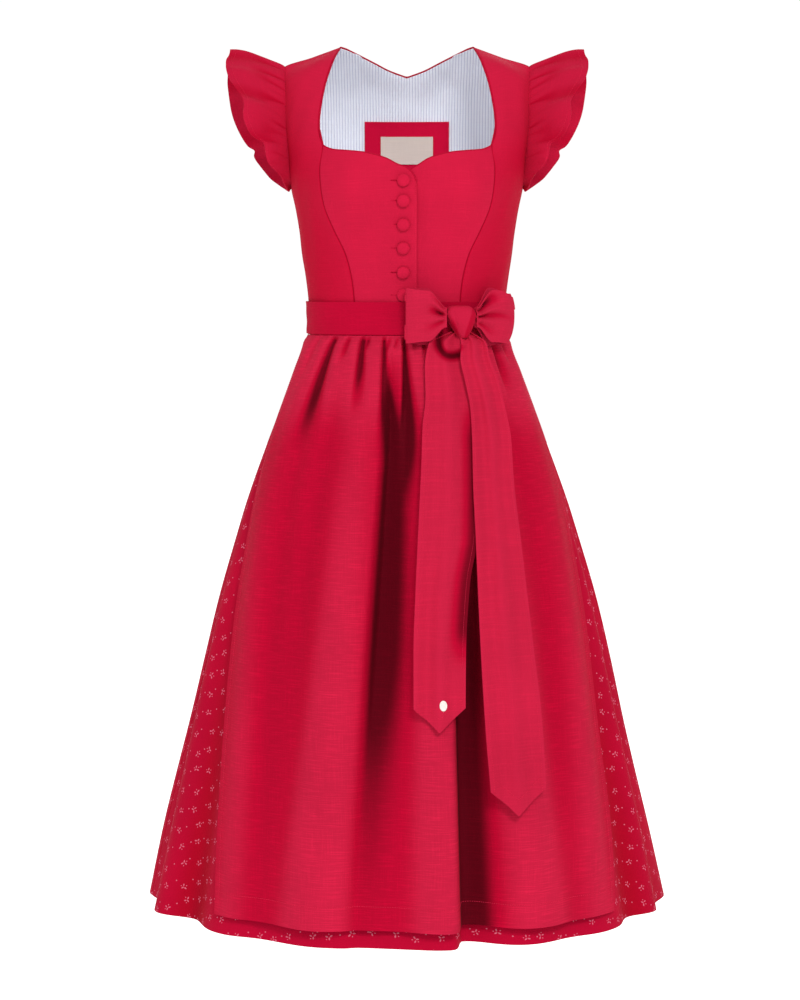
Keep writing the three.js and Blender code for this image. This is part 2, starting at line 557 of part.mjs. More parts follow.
// A strap panel's seams: the inner seam, the side seam below the armhole and the shoulder seam.
function seamedStrap(grid, seamRows) {
  const plain = grid.map((row) => row.map((cell) => ({ p: cell.p.clone(), n: cell.n })));
  const all = insetSides(grid, ['start', 'end', 'top']);
  for (let i = 0; i < grid.length - 1; i += 1) {
    if (i >= seamRows) all[i][0].p.copy(plain[i][0].p);
    if (i >= SIDE_ROWS.length) all[i][STRAP_COLUMNS].p.copy(plain[i][STRAP_COLUMNS].p);
  }
  return all;
}

// Moves a line of edge cells off the cloth's edge, in the cloth's own surface.
// toward says which way is off the edge; the move keeps its distance round a corner.
function offEdge(cells, toward, distance, depth) {
  const out = (i, k) => {
    const along = cells[k].p.clone().sub(cells[i].p).normalize();
    const off = along.cross(cells[i].n);
    return off.multiplyScalar(Math.sign(off.dot(toward(i)))).normalize();
  };
  return cells.map((cell, i) => {
    const dirs = [];
    if (i > 0) dirs.push(out(i - 1, i));
    if (i < cells.length - 1) dirs.push(out(i, i + 1));
    const mean = dirs.reduce((sum, d) => sum.add(d), new THREE.Vector3()).normalize();
    const miter = distance / Math.max(0.6, mean.dot(dirs[0]));
    return cell.p.clone().addScaledVector(mean, miter).addScaledVector(cell.n, -depth);
  });
}

// Piping round the neck, from the right front's edge over the back to the left front's edge.
function neckPiping() {
  const frontTop = (side, edgeX, neckline, sinkAt) => {
    const grid = centreGrid(side, false, FRONT_SEAM, FRONT_SHARES, edgeX, neckline, sinkAt);
    return grid[grid.length - 1];
  };
  const strapEdge = (side, onBack, from) => strapGrid(side, onBack).slice(from).map((row) => row[0]);
  const back = backCentreGrid();
  const right = frontTop(-1, -PLACKET.topEdge, RIGHT_NECKLINE).slice(2);
  const left = frontTop(1, PLACKET.underEdge, LEFT_NECKLINE, underSink).slice(4).reverse();
  const cells = [
    ...right,
    ...strapEdge(-1, false, FRONT_SEAM.length),
    ...strapEdge(-1, true, BACK_SEAM.length).reverse().slice(1),
    ...back[back.length - 1],
    ...strapEdge(1, true, BACK_SEAM.length),
    ...strapEdge(1, false, FRONT_SEAM.length).reverse().slice(1),
    ...left,
  ];
  const middle = new THREE.Vector3(0, -20, 30);
  const toward = (i) => middle.clone().sub(cells[i].p).setZ(Math.max(6, middle.z - cells[i].p.z));
  const centres = offEdge(cells, toward, SEAM_GAP + PIPING.radius + 0.1, BODICE_WALL / 2);
  return cord('neck_piping', centres, PIPING.radius, PIPING.sides, COLOURS.bodice);
}

// A flat piece sewn inside the back: patch or label.
function insideBack(name, { halfWidth, top, bottom }, depth, columns, rows, colour) {
  const grid = makeGrid(rows + 1, columns + 1, (i, j) => {
    const z = lerp(bottom, top, i / rows);
    const x = lerp(-halfWidth, halfWidth, j / columns);
    return bodyCell(bodyAngle(x, z, true), z);
  });
  return wall(name, grid, LABEL_WALL, colour, { start: depth });
}

// A cloth-covered dome button whose flat back lies just off the placket.
function button(name, z) {
  const { p, n } = bodyCell(bodyAngle(BUTTON.x, z, false), z);
  const r = BUTTON.diameter / 2;
  const profile = [[0, 0], [r * 0.82, 0], [r, BUTTON.height * 0.3], [r * 0.9, BUTTON.height * 0.62],
    [r * 0.6, BUTTON.height * 0.88], [0, BUTTON.height]].map(([x, y]) => new THREE.Vector2(x, y));
  const geometry = new THREE.LatheGeometry(profile, 12);
  geometry.deleteAttribute('normal');
  geometry.deleteAttribute('uv');
  const mesh = new THREE.Mesh(mergeVertices(geometry, 1e-4),
    new THREE.MeshStandardMaterial({ color: COLOURS.bodice, roughness: 0.8, metalness: 0 }));
  mesh.name = name;
  mesh.position.copy(p).addScaledVector(n, BUTTON.seat);
  mesh.quaternion.setFromUnitVectors(new THREE.Vector3(0, 1, 0), n);
  return mesh;
}

// Flutter sleeve: a gathered sheet from the armhole's edge to its free edge.
function sleeve(name, side) {
  const edgeCells = (onBack) => strapGrid(side, onBack).slice(SIDE_ROWS.length - 1).map((row) => row[STRAP_COLUMNS]);
  const armhole = [...edgeCells(false), ...edgeCells(true).reverse().slice(1)];
  const roots = armhole.map(({ p, n }) => p.clone().addScaledVector(n, SEAM_GAP + 0.6 * SLEEVE_WALL));
  const path = new THREE.CatmullRomCurve3(
    SLEEVE_EDGE.map(({ x, y, z }) => new THREE.Vector3(side * x, y, z)), false, 'centripetal');
  const count = (roots.length - 1) * SLEEVE.splits;
  const points = makeGrid(SLEEVE.bands.length, count + 1, (i, j) => {
    const segment = Math.min(roots.length - 2, Math.floor(j / SLEEVE.splits));
    const root = roots[segment].clone().lerp(roots[segment + 1], j / SLEEVE.splits - segment);
    const share = j / count;
    const free = path.getPointAt(share);
    const reach = SLEEVE.bands[i];
    const p = root.clone().lerp(free, reach);
    const body = smooth(Math.min(share, 1 - share) / SLEEVE.taper);
    const lift = SLEEVE.arch * Math.sin(Math.PI * reach) * body;
    const away = new THREE.Vector3(side * 0.35, Math.sin((share - 0.5) * Math.PI), Math.cos((share - 0.5) * Math.PI));
    const wave = SLEEVE.waveHeight * reach * body * Math.sin(2 * Math.PI * SLEEVE.waves * share + 0.6);
    return p.addScaledVector(away.normalize(), lift + wave);
  });
  const rows = points.length;
  const grid = makeGrid(rows, count + 1, (i, j) => {
    const across = points[i][Math.min(count, j + 1)].clone().sub(points[i][Math.max(0, j - 1)]);
    const down = points[Math.min(rows - 1, i + 1)][j].clone().sub(points[Math.max(0, i - 1)][j]);
    return { p: points[i][j], n: across.cross(down).normalize() };
  });
  for (const row of grid) for (const cell of row) cell.p = cell.p.clone().addScaledVector(cell.n, SLEEVE_WALL / 2);
  return wall(name, grid, SLEEVE_WALL, COLOURS.sleeve);
}

// Skirt, apron and waist

function skirtPanel(name, fromTurn, toTurn) {
  const count = Math.round((toTurn - fromTurn) / SKIRT_STEP);
  const grid = makeGrid(SKIRT_ROWS.length, count + 1, (i, j) => {
    const angle = (fromTurn + j * SKIRT_STEP) * RAD;
    const z = SKIRT_ROWS[i];
    const level = z > GATHERS.from ? z : Math.max(z, SKIRT_HEM_Z + 1);
    const n = surfaceNormal(skirtSmooth, angle, level, 1);
    if (i === 0) n.setZ(0).normalize();
    return { p: skirtRing(angle, z, skirtOut(angle, z) + skirtGather(angle, z)), n };
  });
  return wall(name, insetSides(grid, ['start', 'end']), SKIRT_WALL, COLOURS.skirt);
}

function apron() {
  const grid = makeGrid(APRON_ROWS.length, APRON_COLUMNS + 1, (i, j) => {
    const z = APRON_ROWS[i];
    const turn = lerp(apronEdgeTurn(-1, z), apronEdgeTurn(1, z), j / APRON_COLUMNS);
    const angle = turn * RAD;
    const n = surfaceNormal(apronSmooth, angle, Math.min(z, BELT.bottom - 2), 1);
    if (i === 0) n.setZ(0).normalize();
    const edgeRoom = Math.min(j, APRON_COLUMNS - j) / 3;
    const gather = gatherHeight(z) * smooth(edgeRoom) * Math.cos(Math.PI * j);
    return { p: skirtRing(angle, z, apronOut(angle, z) + gather), n };
  });
  return wall('apron', grid, APRON_WALL, COLOURS.apron);
}

// A band round the waist, between two turns, its inner face a given distance outside the bodice.
function waistBand(name, fromTurn, toTurn, top, bottom, inside, thickness, colour) {
  const loop = toTurn - fromTurn >= 360;
  const step = 360 / BELT.columns;
  const count = Math.round((toTurn - fromTurn) / step);
  const levels = [bottom, top];
  const grid = makeGrid(levels.length, loop ? count : count + 1, (i, j) => {
    const angle = (fromTurn + j * step) * RAD;
    const n = surfaceNormal(bodyPoint, angle, Math.max(levels[i], BELT.bottom + 1)).setZ(0).normalize();
    return { p: bodyPoint(angle, levels[i]).addScaledVector(n, inside + thickness), n };
  });
  return wall(name, grid, thickness, colour, { loop });
}

// Sash bow

function bowLoop(name, size) {
  const { root, tip } = size;
  const dir = new THREE.Vector2(tip.x - root.x, tip.y - root.y);
  const reach = dir.length();
  dir.normalize();
  const off = new THREE.Vector2(-dir.y, dir.x);
  const place = (i, j) => {
    const turn = Math.PI * (j / LOOP_GRID.columns);
    const along = Math.sin(turn);
    const half = lerp(size.rootHalf, size.fat, smooth(along * 1.2));
    const high = i / LOOP_GRID.rows;
    const crease = LOOP_GRID.crease * (1 - along ** 2) * Math.cos(2 * Math.PI * LOOP_GRID.creases * high);
    const across = -Math.cos(turn) * (half + crease);
    const x = root.x + dir.x * along * reach + off.x * across;
    const y = root.y + dir.y * along * reach + off.y * across;
    const spread = smooth(along);
    const z = lerp(lerp(size.rootBottom, size.tipBottom, spread), lerp(size.rootTop, size.tipTop, spread), high);
    return new THREE.Vector3(x, y, z);
  };
  const grid = makeGrid(LOOP_GRID.rows + 1, LOOP_GRID.columns + 1, (i, j) => {
    const across = place(i, Math.min(LOOP_GRID.columns, j + 1)).sub(place(i, Math.max(0, j - 1)));
    const up = place(Math.min(LOOP_GRID.rows, i + 1), j).sub(place(Math.max(0, i - 1), j));
    return { p: place(i, j), n: across.cross(up).normalize() };
  });
  const outwards = grid[0][0].n.dot(new THREE.Vector3(off.x, off.y, 0)) * grid[0][0].p.clone()
    .sub(grid[0][LOOP_GRID.columns].p).dot(new THREE.Vector3(off.x, off.y, 0)) > 0 ? 1 : -1;
  for (const row of grid) for (const cell of row) cell.n.multiplyScalar(outwards);
  return wall(name, grid, RIBBON_WALL, COLOURS.sash);
}

// The knot: a rounded lump of wrapped ribbon whose back follows the sash.
function knot() {
  const { halfWidth, halfHeight, depth, turns, rows } = KNOT;
  const seat = BELT.bandWall + BELT.sashWall + SEAM_GAP * 2 + KNOT.back;
  const waist = bodyPoint(bodyAngle(KNOT.x, KNOT.z, false), KNOT.z);
  const n = surfaceNormal(bodyPoint, bodyAngle(KNOT.x, KNOT.z, false), KNOT.z).setZ(0).normalize();
  const front = n.clone();
  const side = new THREE.Vector3(0, 0, 1).cross(front).negate().normalize();
  const centre = waist.clone().addScaledVector(n, seat + depth / 2);
  const vertices = [];
  const power = (v, e) => Math.sign(v) * Math.abs(v) ** e;
  for (let i = 1; i < rows; i += 1) {
    const tilt = Math.PI * (i / rows) - Math.PI / 2;
    for (let j = 0; j < turns; j += 1) {
      const turn = (2 * Math.PI * j) / turns;
      const crease = 1 + 0.05 * Math.cos(3 * turn) * Math.cos(tilt);
      const round = power(Math.cos(tilt), 0.7) * crease;
      vertices.push(centre.clone()
        .addScaledVector(side, halfWidth * round * power(Math.cos(turn), 0.75))
        .addScaledVector(front, (depth / 2) * round * power(Math.sin(turn), 0.75))
        .add(new THREE.Vector3(0, 0, halfHeight * power(Math.sin(tilt), 0.8))));
    }
  }
  const ringCount = rows - 1;
  const bottom = vertices.push(centre.clone().add(new THREE.Vector3(0, 0, -halfHeight))) - 1;
  const top = vertices.push(centre.clone().add(new THREE.Vector3(0, 0, halfHeight))) - 1;
  const faces = [];
  for (let j = 0; j < turns; j += 1) {
    const next = (j + 1) % turns;
    for (let i = 0; i < ringCount - 1; i += 1) {
      const [a, b, c, d] = [i * turns + j, i * turns + next, (i + 1) * turns + next, (i + 1) * turns + j];
      faces.push([a, b, c], [a, c, d]);
    }
    faces.push([bottom, next, j]);
    faces.push([top, (ringCount - 1) * turns + j, (ringCount - 1) * turns + next]);
  }
  return meshOf('sash_knot', vertices, faces, COLOURS.sash);
}

// The angle at which the skirt's ring is x from the middle.
function skirtAngle(x, z) {
  const share = clamp01(Math.abs(x) / column(SKIRT_RINGS, 'z', 'half', z));
  return Math.sign(x || 1) * Math.asin(share ** (column(SKIRT_RINGS, 'z', 'round', z) / 2));
}

function tailCell(tail, x, z, across) {
  const out = column(tail.edges, 'z', 'out', z) + tail.pleat * Math.cos(2 * Math.PI * tail.pleats * across);
  const sheet = (a, level) => skirtRing(a, level, out);
  const angle = skirtAngle(x, z);
  return { p: sheet(angle, z), n: surfaceNormal(sheet, angle, z) };
}

function sashTail(name) {
  const tail = TAILS[name];
  const top = tail.edges[0].z;
  const bottom = tail.edges[tail.edges.length - 1].z;
  const grid = makeGrid(TAIL_GRID.steps + 1, TAIL_GRID.columns + 1, (i, j) => {
    const across = j / TAIL_GRID.columns;
    const share = (i / TAIL_GRID.steps) ** 1.25;
    const end = bottom - tail.point * (1 - Math.abs(2 * across - 1));
    const z = lerp(top, lerp(bottom, end, smooth(share * 3 - 2)), share);
    const level = Math.max(bottom, z);
    const x = lerp(column(tail.edges, 'z', 'near', level), column(tail.edges, 'z', 'far', level), across);
    return tailCell(tail, x, z, across);
  });
  return wall(name, grid, RIBBON_WALL, COLOURS.sash);
}

function charm() {
  const tail = TAILS.sash_tail_right;
  const near = column(tail.edges, 'z', 'near', CHARM.z);
  const far = column(tail.edges, 'z', 'far', CHARM.z);
  const { p, n } = tailCell(tail, CHARM.x, CHARM.z, (CHARM.x - near) / (far - near));
  const outline = new THREE.Shape();
  outline.absellipse(0, 0, CHARM.halfWidth, CHARM.halfHeight, 0, 2 * Math.PI);
  const plate = new THREE.ExtrudeGeometry(outline, {
    depth: CHARM.thick, bevelEnabled: false, curveSegments: CHARM.turns,
  });
  plate.deleteAttribute('normal');
  plate.deleteAttribute('uv');
  const mesh = new THREE.Mesh(mergeVertices(plate, 1e-4),
    new THREE.MeshStandardMaterial({ color: COLOURS.charm, roughness: 0.4, metalness: 0.3 }));
  mesh.name = 'sash_charm';
  mesh.position.copy(p).addScaledVector(n, SEAM_GAP + 0.45);
  mesh.quaternion.setFromUnitVectors(new THREE.Vector3(0, 0, 1), n);
  return mesh;
}

const dirndl = new THREE.Group();
const bandInside = SEAM_GAP;
const sashInside = bandInside + BELT.bandWall + SEAM_GAP;
const liningDepth = BACK_WALL + SEAM_GAP + LINING_WALL;

dirndl.add(
  ...bodicePanels(),
  neckPiping(),
  insideBack('label_patch', PATCH, liningDepth + PATCH.gap, 8, 6, COLOURS.patch),
  insideBack('label', LABEL, liningDepth + PATCH.gap + LABEL_WALL + LABEL.gap, 6, 3, COLOURS.label),
  ...BUTTON.rows.map((z, k) => button(`button_${k + 1}`, z)),
  sleeve('sleeve_right', -1),
  sleeve('sleeve_left', 1),
  skirtPanel('skirt_front', -90, 90),
  skirtPanel('skirt_back_left', 90, 180),
  skirtPanel('skirt_back_right', -180, -90),
  apron(),
  waistBand('apron_waistband', -90, 90, BELT.top - 1, BELT.bottom, bandInside, BELT.bandWall, COLOURS.apron),
  waistBand('sash_wrap', -180, 180, BELT.top, BELT.sashBottom, sashInside, BELT.sashWall, COLOURS.sash),
  knot(),
  ...Object.entries(LOOPS).map(([name, size]) => bowLoop(name, size)),
  sashTail('sash_tail_right'),
  sashTail('sash_tail_left'),
  charm(),
);

export default dirndl;
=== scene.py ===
"""Dirndl: a linen bodice with flutter sleeves, a printed skirt, an apron and a sash in a bow.

Each form is worked out in millimetres from the dress form's rings and from short tables of folds,
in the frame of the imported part, and is written to its mesh in metres.
"""

import logging
import math
from collections.abc import Callable, Sequence
from dataclasses import dataclass, field, fields
from enum import Enum, Flag, IntEnum, auto

import bpy
import numpy as np
from bpy.types import Material, Mesh, Node, NodeSocket, Object
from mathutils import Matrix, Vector


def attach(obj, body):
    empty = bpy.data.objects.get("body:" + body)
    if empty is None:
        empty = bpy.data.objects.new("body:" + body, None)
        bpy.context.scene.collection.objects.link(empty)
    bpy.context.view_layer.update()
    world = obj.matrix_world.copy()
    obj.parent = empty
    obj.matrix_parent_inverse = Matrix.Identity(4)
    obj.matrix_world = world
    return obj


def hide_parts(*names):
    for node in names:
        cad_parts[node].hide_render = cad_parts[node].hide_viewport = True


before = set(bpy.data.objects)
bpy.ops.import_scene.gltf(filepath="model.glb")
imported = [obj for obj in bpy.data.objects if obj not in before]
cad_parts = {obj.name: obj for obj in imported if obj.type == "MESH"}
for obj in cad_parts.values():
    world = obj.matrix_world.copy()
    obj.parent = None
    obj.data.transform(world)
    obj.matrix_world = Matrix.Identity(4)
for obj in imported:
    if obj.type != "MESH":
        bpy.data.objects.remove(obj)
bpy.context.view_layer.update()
LOG = logging.getLogger("dirndl")

Array = np.ndarray
Colour = tuple[float, float, float]
Faces = list[tuple[int, ...]]
MM = 0.001
DEG = math.pi / 180
UP = np.array([0.0, 0.0, 1.0])
LEVEL = np.array([1.0, 1.0, 0.0])

SEAM_GAP = 0.3
WAIST_Z = -312.0
HEM_Z = -1023.0
BELT_BOTTOM = -332.0
UNDERARM_Z = -158.0
BODICE_WALL = 2.0
BACK_WALL = 1.2
LINING_WALL = 1.0
RING_ROUND = 2.25
SHARP_TURN = 50 * DEG
LEAST_FILL = 0.301


class Side(IntEnum):
    """The wearer's side, which is also the sign of its x."""

    RIGHT = -1
    LEFT = 1


class Seam(Flag):
    """Edges of a cloth that are sewn to another: its first or last column, or its top row."""

    NONE = 0
    START = auto()
    END = auto()
    TOP = auto()


class Held(Enum):
    """How a cloth is held in place."""

    STRETCHED = "stretched"
    GATHERED = "gathered"
    FOLDED = "folded"
    HUNG = "hung"
    LAID = "laid"


# Numbers and tables


def kept(value: Array) -> Array:
    """Keep a value between 0 and 1."""
    return np.clip(value, 0, 1)


def smooth(value: Array) -> Array:
    """Ease from 0 to 1, flat at both ends."""
    c = kept(value)
    return c * c * (3 - 2 * c)


def mix(a: Array, b: Array, share: Array) -> Array:
    """Blend a into b by share."""
    return a + (b - a) * share


def bell(value: Array, centre: Array, width: Array) -> Array:
    """A bell of height 1 at centre."""
    return np.exp(-0.5 * ((value - centre) / width) ** 2)


def signed_power(value: Array, power: float) -> Array:
    """Raise the size of value to a power and keep its sign."""
    return np.sign(value) * np.abs(value) ** power


def unit(vectors: Array) -> Array:
    """Vectors scaled to length 1."""
    return vectors / np.maximum(np.linalg.norm(vectors, axis=-1, keepdims=True), 1e-9)


def between(t: Array, a: Array, slope_a: Array, b: Array, slope_b: Array) -> Array:
    """A cubic from a to b that leaves and arrives at given slopes.

    Args:
        t: Share of the way.
        a: Value at the start.
        slope_a: Slope there, for the whole way.
        b: Value at the end.
        slope_b: Slope there, for the whole way.

    Returns:
        The value at t.
    """
    t2, t3 = t * t, t * t * t
    rise = 3 * t2 - 2 * t3
    return (1 - rise) * a + (t3 - 2 * t2 + t) * slope_a + rise * b + (t3 - t2) * slope_b


class Curve:
    """A smooth line through knots that never swings past them."""

    def __init__(self, keys: Sequence[float], values: Sequence[float]) -> None:
        """Sort the knots and find their slopes.

        Args:
            keys: Where the knots are.
            values: The line's value at each knot.
        """
        order = np.argsort(keys)
        self.keys = np.asarray(keys, float)[order]
        self.values = np.asarray(values, float)[order]
        step = np.diff(self.values) / np.diff(self.keys)
        self.slopes = np.concatenate([step[:1], np.zeros(len(step) - 1), step[-1:]])
        before, after = step[:-1], step[1:]
        same = before * after > 0
        self.slopes[1:-1][same] = 2 * before[same] * after[same] / (before[same] + after[same])

    def __call__(self, at: Array) -> Array:
        """Read the line at any number of places.

        Args:
            at: The places.

        Returns:
            The line's value at each.
        """
        at = np.clip(at, self.keys[0], self.keys[-1])
        i = np.clip(np.searchsorted(self.keys, at, side="right") - 1, 0, len(self.keys) - 2)
        width = self.keys[i + 1] - self.keys[i]
        t = (at - self.keys[i]) / width
        start, end = width * self.slopes[i], width * self.slopes[i + 1]
        return between(t, self.values[i], start, self.values[i + 1], end)


class Table:
    """Rows of one dataclass, read smoothly by their first field."""

    def __init__(self, rows: Sequence[object]) -> None:
        """Make one curve for each named column.

        Args:
            rows: Dataclass rows whose first field is the key.
        """
        names = [item.name for item in fields(rows[0])]
        keys = [getattr(row, names[0]) for row in rows]
        self.curves = {name: Curve(keys, [getattr(row, name) for row in rows]) for name in names}

    def __call__(self, name: str, at: Array) -> Array:
        """Read one column at any number of keys."""
        return self.curves[name](at)


@dataclass(frozen=True)
class Ring:
    """A level ring of the dress form: half width, depths before and behind, and its middle's y."""

    z: float
    half: float
    front: float
    back: float
    mid: float = 0.0
    round: float = RING_ROUND


@dataclass(frozen=True)
class Fold:
    """One fold: its turn at waist and hem, half width in degrees, and height at five levels.

    A leaning fold is steep on the wearer's right and runs out slowly on the left.
    """

    turn: float
    hem_turn: float
    wide: float
    heights: tuple[float, float, float, float, float]
    lean: bool = False


@dataclass(frozen=True)
class Crease:
    """One crease below the apron's band: its x and slant at the top, length, depth and half width."""

    x: float
    lean: float
    length: float
    depth: float
    wide: float


@dataclass(frozen=True)
class Edge:
    """Where a seam or free edge is at one height."""

    z: float
    x: float


@dataclass(frozen=True)
class ApronEdge:
    """The turns of the apron's two side edges at one height."""

    z: float
    right: float
    left: float


@dataclass(frozen=True)
class Lift:
    """How far the apron stands off the skirt's ring at one height."""

    z: float
    lift: float


@dataclass(frozen=True)
class TailEdge:
    """Both edges of a hanging end at one height, and how far it stands off the skirt's ring."""

    z: float
    near: float
    far: float
    out: float


BODY_RINGS = (
    Ring(12, 81, 3, 3, 12), Ring(8, 92.2, 18, 18, 12), Ring(0, 114.5, 33, 34, 12),
    Ring(-12, 148, 47, 52, 12), Ring(-20, 149.2, 55, 64, 12), Ring(-40, 151, 73, 84, 11),
    Ring(-80, 152, 97, 104, 8), Ring(-120, 147.5, 113, 110, 3), Ring(-158, 139.2, 118, 112),
    Ring(-200, 131, 109, 106), Ring(-243, 125.4, 98, 96), Ring(-280, 120.2, 90, 89),
    Ring(-312, 118.2, 88, 88), Ring(-332, 118.4, 88.5, 88.5),
)
SKIRT_RINGS = (
    Ring(-312, 118.2, 88, 88), Ring(-332, 118.4, 88.5, 88.5), Ring(-345, 121, 92, 92, 0, 2.2),
    Ring(-375, 133, 102, 103, 0, 2.1), Ring(-415, 150, 117, 118, 0, 2.05),
    Ring(-473, 172.5, 137, 138, 0, 2), Ring(-534, 193.5, 156, 156, 0, 2),
    Ring(-580, 206.5, 168, 168, 0, 2), Ring(-654, 226.5, 185.5, 185, 0, 2),
    Ring(-728, 244, 201, 200, 0, 2), Ring(-806, 262, 217, 215, 0, 2),
    Ring(-853, 273.5, 226, 224, 0, 2), Ring(-935, 293, 242, 240, 0, 2),
    Ring(-1023, 311, 257, 255, 0, 2),
)
FOLD_LEVELS = (0.05, 0.25, 0.5, 0.75, 1.0)
FOLD_START = 0.03
APRON_FOLDS = (
    Fold(-62, -41, 4.5, (0, 2, 4, 6, 7)), Fold(-47, -35.5, 4, (-1, -4, -6, -6, -5)),
    Fold(-33, -29, 4.5, (-2, -6, -7, -5, -3)), Fold(-19, -20.5, 6, (1, 5, 8, 11, 12)),
    Fold(-3.8, -7.2, 4.5, (-7, -26, -29, -15, -5), True), Fold(5, 8, 4.6, (1, 4, 7, 12, 14)),
    Fold(20.4, 15.5, 3.9, (-6, -19, -26, -33, -36), True), Fold(32, 27, 6.5, (1, 5, 9, 13, 14)),
    Fold(47, 37, 4, (-1, -4, -5, -5, -4)), Fold(62, 46, 4.5, (0, 2, 4, 6, 7)),
)
APRON_CREASES = (
    Crease(-106, -0.45, 60, 3.5, 2.4), Crease(-88, -0.46, 120, 9.0, 3.0), Crease(-70, -0.40, 34, 6.5, 2.4),
    Crease(-54, -0.12, 84, 9.5, 2.8), Crease(-46, -0.2, 16, 5.0, 1.8), Crease(-28.5, 0.0, 130, 9.0, 1.7),
    Crease(-20, -0.3, 18, 5.0, 1.7), Crease(-11, -0.3, 22, 5.0, 1.8), Crease(-4.5, 0.03, 170, 9.0, 1.9),
    Crease(9, 0, 18, 5.0, 1.8), Crease(19, 0.08, 30, 6.0, 1.8), Crease(33, 0.1, 60, 5.0, 2.4),
    Crease(50, 0.15, 42, 5.0, 2.3), Crease(66, 0.25, 70, 6.0, 2.4), Crease(84, 0.3, 30, 5.0, 2.0),
    Crease(98, 0.4, 70, 7.5, 2.6), Crease(110, 0.45, 40, 4.5, 2.2),
)
SKIRT_FOLDS = (
    Fold(-70, -59, 5, (0, -2, -6, -13, -20)), Fold(-80, -71, 4.6, (0, 2, 5, 7, 8)),
    Fold(-90, -82, 4.2, (0, -3, -6, -7, -7)), Fold(-97, -95, 5, (0, 3, 6, 7, 8)),
    Fold(-108, -109, 4.4, (0, -4, -8, -10, -11)), Fold(-120, -122, 5.4, (0, 3, 6, 8, 10)),
    Fold(-133, -135, 4.2, (0, -5, -9, -11, -12)), Fold(-146, -147, 5, (0, 4, 7, 9, 11)),
    Fold(-158, -159, 4.2, (0, -4, -9, -12, -13)), Fold(-170, -171, 4.8, (0, 4, 7, 9, 10)),
    Fold(178, 177, 4.4, (0, -4, -8, -10, -12)), Fold(166, 166, 4.8, (0, 4, 6, 9, 11)),
    Fold(153, 154, 4.2, (0, -5, -9, -12, -14)), Fold(141, 142, 5, (0, 3, 7, 9, 10)),
    Fold(129, 129, 4.4, (0, -4, -8, -11, -12)), Fold(116, 117, 5.2, (0, 4, 6, 8, 9)),
    Fold(104, 103, 4.2, (0, -3, -8, -9, -10)), Fold(95, 91, 4.8, (0, 3, 5, 6, 7)),
    Fold(86, 80, 4, (0, -3, -7, -8, -8)), Fold(78, 72, 4, (0, 2, 4, 6, 7)),
    Fold(70, 63, 4.6, (0, -2, -5, -12, -17)),
)
APRON_EDGES = (
    ApronEdge(-332.3, 88, 88), ApronEdge(-430, 80, 82), ApronEdge(-549, 69, 73),
    ApronEdge(-668, 62, 66), ApronEdge(-786, 56, 60), ApronEdge(-905, 50, 56),
    ApronEdge(-1001, 46, 51),
)
APRON_LIFTS = (Lift(-332.3, 1.5), Lift(-345, 5), Lift(-400, 6.5), Lift(-1001, 10))


